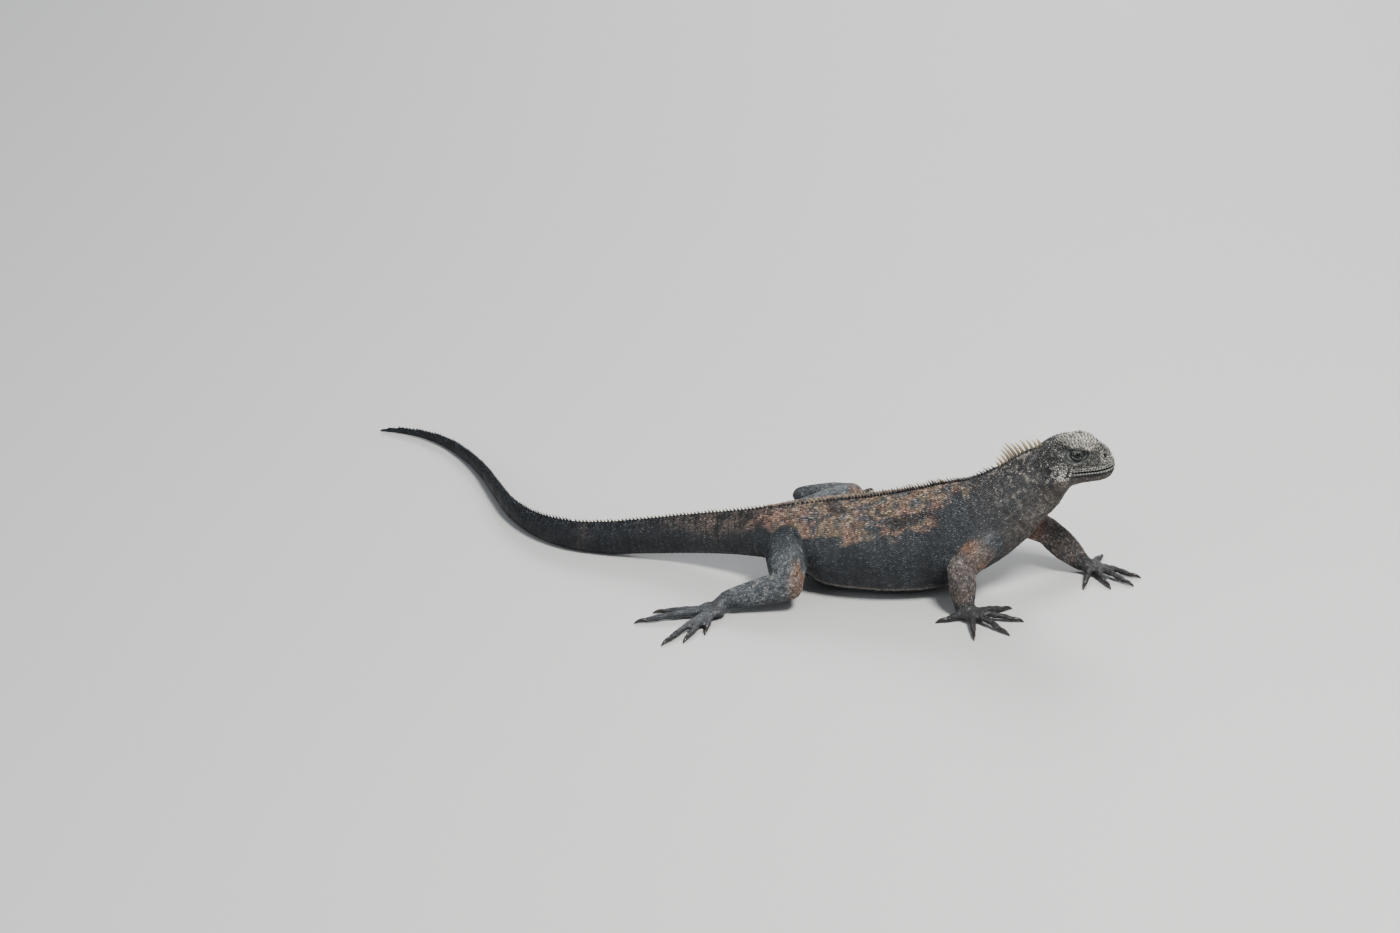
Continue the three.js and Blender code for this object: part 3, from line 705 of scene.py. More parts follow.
# Colour: the same pattern for hide and scales
def hide_colours(survey):
    """The markings at every point of a survey, with painted shade in the belly's groove, the tail's grooves,
    the mouth, the nostrils and the lid folds, painted highlight on the belly fold's ridge and the lid folds,
    and streaks and an upper lip partly in painted sheen.
    """
    points = survey.points
    x, y, _ = points.T
    c = COLOURS
    fine, middle, broad = noise(points, 2.6, 20), noise(points, 7, 21), noise(points, 17, 22)
    # Streaks stretched round the body: random tone, and a painted sheen where they lighten the flanks towards
    # slate
    streak_and_sheen = noise(survey.unrolled(5), 3.2, 23)

    colour = mix(c["charcoal"], c["slate"], 0.40 + 0.28 * broad + 0.20 * streak_and_sheen)
    colour = mix(colour, c["pale"], 0.16 * ease(0.35, 0.9, middle) * ease(0.3, -0.6, survey.rise))

    # The worn, warm band over the back
    border = 0.50 + 0.15 * broad + 0.15 * middle + 0.05 * fine + 0.36 * ease(38, 92, x)
    band = ease(border - 0.06, border + 0.09, survey.rise)
    band *= ease(-126, -92, x + 9 * broad) * ease(104, 86, x + 8 * middle)
    warm = mix(c["salmon"], c["tan"], ease(-0.35, 0.45, noise(points, 9, 24)))
    warm = mix(warm, c["slate"], 0.80 * ease(-0.05, 0.45, noise(points, 5.0, 25)))
    warm = mix(warm, c["blotch"], 0.80 * ease(0.40, 0.60, noise(points, 14, 26)))
    warm = mix(warm, c["charcoal"], 0.55 * ease(0.0, 0.7, noise(points, 1.9, 29)))
    warm = mix(warm, c["fleck"], 0.35 * ease(0.3, 0.8, fine))
    worn = ease(-50, -90, x) * ease(-0.45, 0.35, noise(points, 6.0, 32))
    warm = mix(warm, c["blotch"] * 1.4, 0.75 * worn)
    colour = mix(colour, warm, 0.92 * band)

    # A painted highlight along the belly fold's ridge and painted shade in its groove
    fold = belly_fold(points)
    edge = ease(-68, -56, x) * ease(92, 76, x) * (np.abs(y) > 20)
    colour = mix(colour, c["pale"], 0.60 * bell(fold - 2.9, 1.2) * edge)
    colour = mix(colour, c["charcoal"] * 0.5, 0.85 * bell(fold, 0.9) * edge)

    # The tail, mottled at its base, then dark, with painted shade in its grooves
    tail = ease(15.2, 13.6, survey.place)
    rear = ease(12.9, 10.4, survey.place + 0.5 * broad)
    base = mix(c["tail_base"], c["blotch"], ease(-0.3, 0.4, middle + 0.5 * streak_and_sheen))
    base = mix(base, c["charcoal"], 0.5 * ease(0.0, 0.7, noise(points, 1.9, 29)))
    base = mix(base, c["slate"] * 0.7, 0.85 * ease(0.62, 0.0, survey.rise + 0.3 * broad))
    dark = mix(c["tail"], c["slate"], 0.10 + 0.20 * streak_and_sheen)
    dark = mix(dark, c["tail_base"], 0.30 * ease(0.25, 0.8, broad) * ease(5, 9, survey.place))
    colour = mix(colour, mix(base, dark, rear), tail)
    # Painted shade in the grooves round the tail
    rings = bell(groove_gap(survey), 0.7) * tail
    colour = mix(colour, c["charcoal"] * 0.6, 0.6 * rings)

    # The neck, with pale marks in its pleats
    neck = ease(20.4, 22.2, survey.place + 0.5 * broad)
    pale_marks = ease(0.05, 0.7, noise(survey.unrolled(14), 1.9, 27) + 0.5 * middle)
    neck_colour = mix(c["neck"], c["slate"], 0.35 + 0.3 * broad)
    neck_colour = mix(neck_colour, c["fleck"], 0.55 * pale_marks * ease(21.6, 23.0, survey.place))
    neck_colour = mix(neck_colour, c["throat"], 0.55 * ease(0.1, -0.7, survey.rise))
    colour = mix(colour, neck_colour, neck)

    colour = mix(colour, head_colours(points, middle), survey.head)
    colour = mix(colour, limb_colours(survey, fine, middle, broad), survey.on_limb)
    return np.clip(colour * (1 + 0.16 * fine)[:, None], 0.004, 0.9)


def head_colours(points, middle):
    """Pale crown and cheek, dark orbit with lid folds in painted highlight and shade, mouth and nostrils
    in painted shade, an upper lip partly in painted sheen, throat and ears.
    """
    x, y, z = from_left(points).T
    c = COLOURS
    grain = noise(points, 1.5, 31)
    colour = mix(c["temple"], c["crown"], 0.40 * ease(0.15, 0.65, grain))
    side = ease(184, 192, x) * ease(125, 128, z)
    colour = mix(colour, c["lip"] * 0.42, 0.8 * side * ease(-0.5, 0.3, middle))
    crown = ease(142.0, 146.0, z + 0.12 * (x - 178) + 1.2 * middle) * ease(157, 162, x)
    crown = np.maximum(crown, 0.8 * ease(199, 205, x) * ease(128, 132, z) * ease(-1.6, 0.3, middle + grain))
    colour = mix(colour, c["crown"], crown * (0.74 + 0.26 * grain))
    cheek = bell(np.hypot((x - 170.0) / 9.4, (z - 122.5) / 7.0), 1.0) * ease(12, 17, y)
    colour = mix(colour, c["cheek"], np.clip(1.3 * cheek, 0, 1) * ease(-0.25, 0.30, grain))
    gap = z - mouth_line(x)
    front = lips(x)
    # Pale band over the mouth, partly a painted sheen on the lip's bulge
    colour = mix(colour, c["lip"], 0.85 * front * ease(0.6, 1.3, gap) * ease(4.6, 3.2, gap))
    under = front * ease(-0.4, -1.0, gap)
    colour = mix(colour, c["temple"] * 0.55, 0.9 * under * ease(-6.5, -4.4, gap))
    colour = mix(colour, c["lower_lip"], 0.85 * front * bell(gap + 1.5, 0.7))
    chin = ease(-4.5, -7.5, gap) * ease(158, 166, x) + ease(170, 160, x) * ease(112, 104, z)
    colour = mix(colour, c["throat"], np.clip(chin, 0, 1) * (0.75 + 0.25 * grain))
    u, v = x - EYE[0], z - EYE[2]
    outer = ease(8, 12, y)
    orbit = ease(1.12, 0.86, np.hypot(u / 11.8, (v + 0.2) / 6.6)) * outer
    colour = mix(colour, c["orbit"], orbit)
    # Painted highlight on the lid folds' ridges and painted shade in their troughs
    for ring, tone, strength in LID_RINGS:
        colour = mix(colour, c["orbit"] * tone, strength * bell(lid_distance(u, v) - ring, 0.42) * outer)
    # Painted shade in the nostrils and along the mouth's groove
    hole = distance(from_left(points), NOSTRIL)
    colour = mix(colour, c["mouth"], ease(1.9, 1.2, hole))
    colour = mix(colour, c["mouth"], front * bell(gap, 0.6))
    return mix(colour, c["temple"] * 1.5, 0.8 * ease(1.1, 0.8, ear_distance(x, z)) * ease(15, 19, y))


def limb_colours(survey, fine, middle, broad):
    """Brown forearms, grey hind legs with rust on the knee's front, and dark paws."""
    c = COLOURS
    points, part = survey.points, survey.part
    fore = survey.limb < 2
    speck = ease(0.0, 0.7, noise(points, 1.9, 29))
    arm = mix(c["arm"], c["slate"], 0.35 + 0.4 * middle)
    arm = mix(arm, c["slate"], 0.9 * ease(0.46, 0.18, part + 0.08 * middle))
    arm = mix(arm, c["rust"], 0.75 * bell(part - 0.62, 0.17) * ease(-0.2, 0.4, broad + 0.5 * middle))
    arm = mix(arm, c["pale"], 0.40 * bell(part - 1.0, 0.16) * ease(-0.2, 0.6, middle))
    arm = mix(arm, c["pale"], 0.35 * ease(0.15, 0.7, fine) * ease(0.5, 1.2, part))
    arm = mix(arm, c["charcoal"], 0.45 * speck)
    arm = mix(arm, c["hand"], ease(1.80, 2.0, part + 0.04 * middle))
    leg = mix(c["leg"], c["slate"], 0.45 + 0.45 * middle)
    leg = mix(leg, c["slate"] * 0.8, 0.8 * ease(0.55, 0.30, part + 0.1 * middle))
    knee = np.array([paw["joints"][1][0] for paw in LIMBS.values()])[survey.limb]
    ahead = ease(-2, 7, points[:, 0] - knee + 3 * middle)
    leg = mix(leg, c["rust"], 0.9 * ahead * bell(part - 0.88, 0.17) * ease(-0.4, 0.2, broad + 0.5 * middle))
    leg = mix(leg, c["fleck"], 0.35 * ease(0.1, 0.6, fine) * ease(0.5, 0.8, part))
    leg = mix(leg, c["charcoal"], 0.45 * speck)
    leg = mix(leg, c["foot"], ease(1.75, 2.1, part))
    colour = np.where(fore[:, None], arm, leg)
    toes = ease(2.55, 2.9, part)
    return mix(colour, c["hand"], toes * 0.6)


# Materials
def node_material(name):
    material = bpy.data.materials.new(name)
    material.use_nodes = True
    nodes, links = material.node_tree.nodes, material.node_tree.links
    return material, nodes, links, nodes["Principled BSDF"]


def add(nodes, kind, **inputs):
    node = nodes.new(kind)
    for name, value in inputs.items():
        node.inputs[name].default_value = value
    return node


def texture(nodes, links, kind, **inputs):
    """A texture in the piece's own coordinates."""
    node = add(nodes, kind, **inputs)
    links.new(nodes.new("ShaderNodeTexCoord").outputs["Object"], node.inputs["Vector"])
    return node


def stretched(nodes, links, value, taken, given):
    """A value's range taken, stretched to the range given."""
    node = nodes.new("ShaderNodeMapRange")
    for name, number in zip(("From Min", "From Max", "To Min", "To Max"), (*taken, *given)):
        node.inputs[name].default_value = number
    links.new(value, node.inputs["Value"])
    return node.outputs["Result"]


def bumped(nodes, links, height, strength, under=None):
    """The normal over bumps 0.2 mm high, on top of the normal under them."""
    node = add(nodes, "ShaderNodeBump", Strength=strength, Distance=0.0002)
    links.new(height, node.inputs["Height"])
    if under:
        links.new(under, node.inputs["Normal"])
    return node.outputs["Normal"]


def two_tone(nodes, links, value, dark, light, shader):
    """Base colour from dark to light by a value."""
    ramp = nodes.new("ShaderNodeValToRGB")
    ramp.color_ramp.elements[0].color = (*dark, 1)
    ramp.color_ramp.elements[1].color = (*light, 1)
    links.new(value, ramp.inputs["Fac"])
    links.new(ramp.outputs["Color"], shader.inputs["Base Color"])


def hide_material():
    """Matt hide, coloured by the colour its points carry, painted light and shade included, with fine grain
    and pores.
    """
    material, nodes, links, shader = node_material("hide")
    markings_and_painted_light = nodes.new("ShaderNodeAttribute")
    markings_and_painted_light.attribute_name = "markings_and_painted_light"
    fine = texture(nodes, links, "ShaderNodeTexNoise", Scale=850.0, Detail=5.0, Roughness=0.62).outputs["Fac"]
    tint = nodes.new("ShaderNodeVectorMath")
    tint.operation = "SCALE"
    links.new(markings_and_painted_light.outputs["Color"], tint.inputs[0])
    links.new(stretched(nodes, links, fine, (0.28, 0.72), (0.66, 1.34)), tint.inputs["Scale"])
    links.new(tint.outputs["Vector"], shader.inputs["Base Color"])
    damp = texture(nodes, links, "ShaderNodeTexNoise", Scale=90.0, Detail=3.0).outputs["Fac"]
    links.new(stretched(nodes, links, damp, (0.3, 0.7), (0.38, 0.62)), shader.inputs["Roughness"])
    pores = texture(nodes, links, "ShaderNodeTexVoronoi", Scale=1100.0).outputs["Distance"]
    bumps = bumped(nodes, links, pores, 0.35)
    links.new(bumped(nodes, links, fine, 0.30, bumps), shader.inputs["Normal"])
    shader.inputs["Specular IOR Level"].default_value = 0.42
    return material


def claw_material():
    material, nodes, links, shader = node_material("claw_horn")
    streaks = texture(nodes, links, "ShaderNodeTexNoise", Scale=520.0, Detail=4.0).outputs["Fac"]
    two_tone(nodes, links, streaks, (0.010, 0.009, 0.009), (0.060, 0.052, 0.046), shader)
    links.new(bumped(nodes, links, streaks, 0.2), shader.inputs["Normal"])
    shader.inputs["Roughness"].default_value = 0.28
    return material


def eye_material():
    """Dark iris round a black pupil, measured in millimetres from the gaze, alike on both sides."""
    material, nodes, links, shader = node_material("eye_wet")
    fold = nodes.new("ShaderNodeVectorMath")
    fold.operation = "ABSOLUTE"
    links.new(nodes.new("ShaderNodeTexCoord").outputs["Object"], fold.inputs[0])
    pupil = EYE + unit(GAZE) * EYE_RADIUS
    gap = nodes.new("ShaderNodeVectorMath")
    gap.operation = "DISTANCE"
    gap.inputs[1].default_value = tuple(pupil * MM)
    links.new(fold.outputs["Vector"], gap.inputs[0])
    wobble = texture(nodes, links, "ShaderNodeTexNoise", Scale=1500.0, Detail=3.0)
    ragged = nodes.new("ShaderNodeMath")
    ragged.operation = "MULTIPLY_ADD"
    ragged.inputs[1].default_value = 0.0006
    links.new(wobble.outputs["Fac"], ragged.inputs[0])
    links.new(gap.outputs["Value"], ragged.inputs[2])
    scaled = nodes.new("ShaderNodeMath")
    scaled.operation = "MULTIPLY"
    scaled.inputs[1].default_value = 200.0
    links.new(ragged.outputs["Value"], scaled.inputs[0])
    ramp = nodes.new("ShaderNodeValToRGB")
    stops = [(0.0, (0.002, 0.002, 0.002)), (0.35, (0.002, 0.002, 0.002)), (0.39, (0.030, 0.024, 0.017)),
             (0.46, (0.018, 0.014, 0.010)), (0.68, (0.012, 0.009, 0.007)), (0.78, (0.005, 0.005, 0.005)),
             (0.86, (0.028, 0.026, 0.024)), (1.0, (0.018, 0.017, 0.017))]
    elements = ramp.color_ramp.elements
    for k, (spot, colour) in enumerate(stops):
        element = elements[k] if k < 2 else elements.new(spot)
        element.position = spot
        element.color = (*colour, 1)
    links.new(scaled.outputs["Value"], ramp.inputs["Fac"])
    links.new(ramp.outputs["Color"], shader.inputs["Base Color"])
    shader.inputs["Roughness"].default_value = 0.20
    shader.inputs["Specular IOR Level"].default_value = 0.3
    shader.inputs["Coat Weight"].default_value = 0.35
    shader.inputs["Coat Roughness"].default_value = 0.05
    return material


HIDE = hide_material()


def paint(mesh, colours):
    """Gives every point its colour."""
    marks = mesh.attributes.new("markings_and_painted_light", "FLOAT_COLOR", "POINT")
    rgba = np.ones((len(colours), 4), np.float32)
    rgba[:, :3] = colours
    marks.data.foreach_set("color", rgba.ravel())


# The hide, step by step
def joined_hide():
    """All the shells in one mesh without a seam."""
    points, faces, offset = [], [], 0
    for part_points, part_faces in all_shells():
        points.append(part_points)
        faces += [tuple(v + offset for v in face) for face in part_faces]
        offset += len(part_points)
    joined = mesh_object("skin", np.concatenate(points), faces, HIDE)
    apply(joined, "REMESH", mode="VOXEL", voxel_size=VOXEL * MM)
    return joined


def soften(mesh):
    """Smooths the hide, most where limbs meet the body, at joints, at the brow's end and at the nape."""
    points = points_of(mesh)
    survey = Survey(points)
    thin = survey.on_limb * ease(1.9, 2.1, survey.part)
    relax(mesh, 1 - 0.55 * thin, 5)
    soft = np.zeros(len(points))
    for paw in LIMBS.values():
        root, middle, end = np.array(paw["joints"], float)
        soft = np.maximum(soft, ease(40, 26, distance(points, root)))
        for joint, reach in ((middle, 18), (end, 12)):
            soft = np.maximum(soft, 0.6 * ease(reach, reach * 0.6, distance(points, joint)))
    relax(mesh, soft, 14, 0)
    relax(mesh, ease(14, 7, distance(from_left(points), BROW_END)), 12, 0)
    nape = ease(140, 147, points[:, 0]) * ease(172, 164, points[:, 0])
    relax(mesh, nape * ease(88, 96, points[:, 2]), 10, 0)


def unwrap(piece):
    only(piece)
    bpy.ops.object.mode_set(mode="EDIT")
    bpy.ops.mesh.select_all(action="SELECT")
    bpy.ops.uv.smart_project(angle_limit=math.radians(66), island_margin=0.0015)
    bpy.ops.object.mode_set(mode="OBJECT")
    piece.data.uv_layers[0].name = UV_MAP


def on_head(spot):
    return spot.x > 0.152 and spot.z > 0.1


def on_features(spot):
    """The mouth, the eyes and the nostrils, which need the finest mesh."""
    mouth = 0.1195 < spot.z < 0.1285
    eye = spot.x < 0.194 and 0.1305 < spot.z < 0.1475 and abs(spot.y) > 0.011
    nostril = spot.x > 0.2 and 0.127 < spot.z < 0.137
    return spot.x > 0.1765 and (mouth or eye or nostril)


def refine(mesh, area):
    """Halves the edges of the faces whose middle is in an area, given in metres."""
    made = bmesh.new()
    made.from_mesh(mesh)
    faces = (face for face in made.faces if area(face.calc_center_median()))
    edges = dict.fromkeys(edge for face in faces for edge in face.edges)
    bmesh.ops.subdivide_edges(made, edges=list(edges), cuts=1, use_grid_fill=True)
    made.to_mesh(mesh)
    made.free()
    points = points_of(mesh)
    relax(mesh, ease(150, 154, points[:, 0]) * ease(96, 101, points[:, 2]), 3)


def sculpt(mesh):
    """Moves the hide into its folds and features, lays the lids on the eyes, and paints the markings,
    darker between the scales as painted shade.
    """
    survey = Survey(points_of(mesh))
    push = body_relief(survey) + face_relief(survey)
    points = wrap_lids(survey.points + normals_of(mesh) * push[:, None])
    points[:, 2] = np.maximum(points[:, 2], 0.0)
    set_points(mesh, points)
    mesh.polygons.foreach_set("use_smooth", np.ones(len(mesh.polygons), bool))
    survey = Survey(points)
    # The hide between the scales is painted darker, most between the head's tubercles, as painted shade in
    # the gaps; the lids, which have no scales, get less of it
    lids = ease(8.6, 6.4, lid_distance(points[:, 0] - EYE[0], points[:, 2] - EYE[2])) * survey.head
    paint(mesh, hide_colours(survey) * (0.72 - 0.34 * survey.head + 0.30 * lids)[:, None])


skin = joined_hide()
soften(skin.data)
unwrap(skin)
refine(skin.data, on_head)
refine(skin.data, on_features)
sculpt(skin.data)
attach(skin, "root")
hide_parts("head", "jaw", "neck", "trunk", "tail_1", "tail_2", "tail_3", "tail_4", *LIMBS,
            *itertools.chain(*LIMB_NODES.values()))

# A tree of the hide's faces, to stand scales on
skin_points = points_of(skin.data)
skin_faces = [tuple(face.vertices) for face in skin.data.polygons]
tree = BVHTree.FromPolygons(skin_points.tolist(), skin_faces)
loop_uv = np.empty(len(skin.data.loops) * 2, np.float32)
skin.data.uv_layers[UV_MAP].data.foreach_get("uv", loop_uv)
first_loop = np.empty(len(skin.data.polygons), np.int32)
skin.data.polygons.foreach_get("loop_start", first_loop)
face_uv = np.add.reduceat(loop_uv.reshape(-1, 2), first_loop, axis=0)
face_uv /= np.array([len(face) for face in skin_faces])[:, None]
skin_normals = normals_of(skin.data)
face_normal = unit(np.array([skin_normals[list(face)].mean(0) for face in skin_faces]))


def land(origins, ways, reach):
    """Where rays meet the hide from outside: (kept, points, normals, uvs)."""
    kept, places, faces = [], [], []
    grazing = -0.15
    for k, (origin, way) in enumerate(zip(origins.tolist(), ways.tolist())):
        place, normal, face, _ = tree.ray_cast(origin, way, reach)
        if place is not None and normal.dot(Vector(way)) < grazing:
            kept.append(k)
            places.append(place)
            faces.append(face)
    return np.array(kept, int), np.array(places), face_normal[faces], face_uv[faces]


# Shapes of scale and tubercle, one unit long, wide and high, with the tip towards +x
KEELED = (
    np.array([[-0.5, 0, 0], [-0.24, 0.47, 0], [0.25, 0.45, 0], [0.64, 0, 0.16],
              [0.25, -0.45, 0], [-0.24, -0.47, 0], [-0.15, 0, 0.72], [0.36, 0, 1.0]]),
    np.array([[0, 5, 6], [5, 4, 7], [5, 7, 6], [4, 3, 7], [3, 2, 7], [2, 1, 7], [7, 1, 6], [1, 0, 6],
              [0, 1, 2], [0, 2, 3], [0, 3, 4], [0, 4, 5]]),
)


def dome(levels, lean=0.0):
    """A closed bump of rings (radius, height), leaning back towards its tip."""
    sides = 8
    points, faces = [], []
    for radius, height in levels[:-1]:
        for s in range(sides):
            turn = s / sides * 2 * math.pi
            x, y = 0.5 * radius * math.cos(turn), 0.5 * radius * math.sin(turn)
            points.append([x + lean * height, y, height])
    tip = len(points)
    points.append([lean * levels[-1][1], 0, levels[-1][1]])
    for r in range(len(levels) - 2):
        for s in range(sides):
            a, b = r * sides + s, r * sides + (s + 1) % sides
            faces += [[a, b, b + sides], [a, b + sides, a + sides]]
    top = (len(levels) - 2) * sides
    for s in range(sides):
        faces.append([top + s, top + (s + 1) % sides, tip])
    for s in range(1, sides - 1):
        faces.append([0, s + 1, s])
    return np.array(points), np.array(faces)


ROUND = dome([(1.0, 0.0), (0.93, 0.45), (0.62, 0.86), (0, 1.0)])
CONE = dome([(1.0, 0.0), (0.84, 0.32), (0.46, 0.72), (0, 1.0)], lean=0.22)

# How deep scales sink into the hide, each one's patch on the hide's UV map, a piece's most triangles,
# the lowest place for a root, the step between staggered rows, and how bright rims and tips are: a
# painted shade at every scale's rim and a painted highlight at its tip
SINK = 0.22
PATCH = 0.003
MOST_TRIANGLES = 190000
LOWEST_ROOT = 0.35
ROW_STEP = 0.86
BODY_RIM_SHADE = 0.52
HEAD_RIM_SHADE = 0.34
TIP_HIGHLIGHT = 1.14
# The cells that spaced looks for neighbours in, and the roots of all scales so far
CELL = 3.6
STANDING = []


def picked(which, *arrays):
    return [array[which] for array in arrays]


def hide_piece(name, points, faces, uvs, colours):
    """A piece in the hide's own finish, with a colour and a place on the hide's UV map for every point."""
    piece = mesh_object(name, points, faces, HIDE)
    corners = piece.data.uv_layers.new(name=UV_MAP)
    corners.data.foreach_set("uv", uvs[corners_of(piece.data)].astype(np.float32).ravel())
    paint(piece.data, colours)
    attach(piece, "root")


def stand(name, template, roots, normals, lie, uvs, sizes, colours, rim=BODY_RIM_SHADE):
    """Stands a scale on each root. sizes is length, width and height, lie points to the scale's tip,
    and rim is how bright its edge is. Every scale's colour is painted darker at its rim, a painted shade,
    and lighter at its tip, a painted highlight."""
    STANDING.append(roots)
    shape, faces = template
    normals = unit(normals)
    lie = unit(lie - normals * (lie * normals).sum(1, keepdims=True))
    across = np.cross(normals, lie)
    # Painted shade at each scale's rim, rising to a painted highlight at its tip
    shade = rim + (TIP_HIGHLIGHT - rim) * shape[:, 2]
    per_piece = MOST_TRIANGLES // len(faces)
    for number, start in enumerate(range(0, len(roots), per_piece), 1):
        part = slice(start, start + per_piece)
        length, width, height = sizes[part].T
        points = roots[part][:, None, :] - normals[part][:, None, :] * SINK
        for axis, way, size in ((0, lie, length), (1, across, width), (2, normals, height + SINK)):
            points = points + way[part][:, None, :] * (shape[:, axis] * size[:, None])[..., None]
        points[..., 2] = np.maximum(points[..., 2], 0.0)
        all_faces = (faces[None] + (np.arange(len(length)) * len(shape))[:, None, None]).reshape(-1, 3)
        uv = uvs[part][:, None, :] + shape[None, :, :2] * PATCH
        colour = colours[part][:, None, :] * shade[None, :, None]
        hide_piece(f"{name}_{number}", points.reshape(-1, 3), all_faces, uv.reshape(-1, 2),
                   colour.reshape(-1, 3))


def jittered(count, spread):
    return 1 + random.uniform(-spread, spread, count)


def scale_colours(survey, spread=0.28, salt=1.0):
    """The hide's colours at each scale, painted light and shade included, with some scales paler or darker
    than the rest, by the salt.
    """
    colours = hide_colours(survey)
    draw = random.random(len(colours))
    pale = (draw < 0.20) * ease(0.30, 0.10, colours.mean(1))
    murky = draw > 0.74
    flicker = (1 + 1.1 * salt * pale) * (1 - 0.42 * salt * murky)
    return colours * (jittered(len(colours), spread) * flicker)[:, None]


# Scales of the body, in rings round the spine
def staggered(count, row):
    """Shares of a ring for its scales, where every second row is half a scale on."""
    return (np.arange(count) + (0.5 if row % 2 else 0)) / count


def body_lattice(first, last, pitch):
    """Places and turns in staggered rings, spaced evenly round the body."""
    start, end = np.interp([first, last], PLACES, PLACE_ARC)
    rings = np.interp(np.arange(start, end, pitch * ROW_STEP), PLACE_ARC, PLACES)
    places, turns = [], []
    fine_turn = np.linspace(0, 2 * math.pi, 181)
    for row, place in enumerate(rings):
        around = arc_along(body_points(np.full(len(fine_turn), place), fine_turn))
        count = max(6, int(around[-1] / pitch))
        turns.append(np.interp(staggered(count, row) * around[-1], around, fine_turn))
        places.append(np.full(count, place))
    return np.concatenate(places), np.concatenate(turns)


def body_scales(name, first, last, pitch, height, outside=5.0):
    """Keeled scales over one length of the body; rays towards it start that far outside."""
    place, turn = body_lattice(first, last, pitch)
    place = place + random.uniform(-0.006, 0.006, len(place))
    outer, inner = body_points(place, turn, outside), body_points(place, turn, -1.0)
    deepest = 7
    _, roots, normals, uvs = land(outer, unit(inner - outer), outside + deepest)
    survey = Survey(roots)
    good = (survey.on_limb < 0.5) & (survey.head < 0.5) & (roots[:, 2] > LOWEST_ROOT)
    roots, normals, uvs = picked(good, roots, normals, uvs)
    survey = Survey(roots)
    ridge = 0.85 + 0.35 * ease(0.2, 0.95, survey.rise)
    size = pitch * jittered(len(roots), 0.10) * ridge
    sizes = np.stack([size * 1.16, size * 1.04, height * ridge * jittered(len(roots), 0.2)], 1)
    stand(name, KEELED, roots, normals, -survey.along, uvs, sizes, scale_colours(survey))


body_scales("scales_tail", TAIL_END, HIPS, pitch=1.8, height=0.34)
body_scales("scales_trunk", HIPS, SHOULDERS, pitch=1.95, height=0.42)
body_scales("scales_neck", SHOULDERS, NAPE_TOP, pitch=1.75, height=0.50, outside=13.0)


# Scales of the limbs and digits, in rings round each bone: how far outside a limb its rays start, the
# radius taken for each part of a paw, and the pitch and height of the scales
OUTSIDE = 7
WRIST_RADIUS = 10
PALM_RADIUS = 11
DIGIT_RADIUS = 3.6
LIMB_SCALE = (1.65, 0.37)
WRIST_SCALE = (1.35, 0.3)
PALM_SCALE = (1.3, 0.3)
DIGIT_SCALE = (1.25, 0.26)


def limb_lattice(first, last, radius, pitch):
    """Rays towards a bone, in staggered rings along it."""
    way = unit(last - first)
    normal = unit(np.cross(way, [0.3, 0.2, 1]))
    across = np.cross(way, normal)
    count = int(2 * math.pi * radius / pitch)
    origins, ways = [], []
    for row, reach in enumerate(np.arange(0, np.linalg.norm(last - first), pitch * ROW_STEP)):
        turn = staggered(count, row) * 2 * math.pi
        out = np.cos(turn)[:, None] * normal + np.sin(turn)[:, None] * across
        origins.append(first + way * reach + out * (radius + OUTSIDE))
        ways.append(-out)
    return np.concatenate(origins), np.concatenate(ways)


def joint_lattice(centre, radius, pitch):
    """Rays towards a joint from all round, evenly spaced."""
    count = int(4 * math.pi * radius ** 2 / pitch ** 2)
    k = np.arange(count) + 0.5
    lift = 1 - 2 * k / count
    turn = k * math.pi * (3 - math.sqrt(5))
    flat = np.sqrt(1 - lift ** 2)
    out = np.stack([flat * np.cos(turn), flat * np.sin(turn), lift], 1)
    return centre + out * (radius + OUTSIDE), -out


def limb_scales(index, rays, way, radius, scale, seen):
    """Scales where the rays land on one limb of that radius. scale is their pitch and height, way where
    their tips point, and seen the part of the limb to keep, as a survey gives it."""
    pitch, height = scale
    _, roots, normals, uvs = land(*rays, radius + OUTSIDE)
    survey = Survey(roots)
    good = (survey.on_limb >= 0.5) & (survey.limb == index) & (roots[:, 2] > LOWEST_ROOT)
    good &= (survey.part >= seen[0]) & (survey.part < seen[1])
    roots, normals, uvs = picked(good, roots, normals, uvs)
    size = pitch * jittered(len(roots), 0.12)
    sizes = np.stack([size * 1.15, size * 1.02, height * jittered(len(roots), 0.25)], 1)
    lie = np.tile(unit(way), (len(roots), 1))
    return roots, normals, lie, uvs, sizes, scale_colours(Survey(roots))


def stand_all(name, batches):
    stand(name, KEELED, *[np.concatenate(part) for part in zip(*batches)])


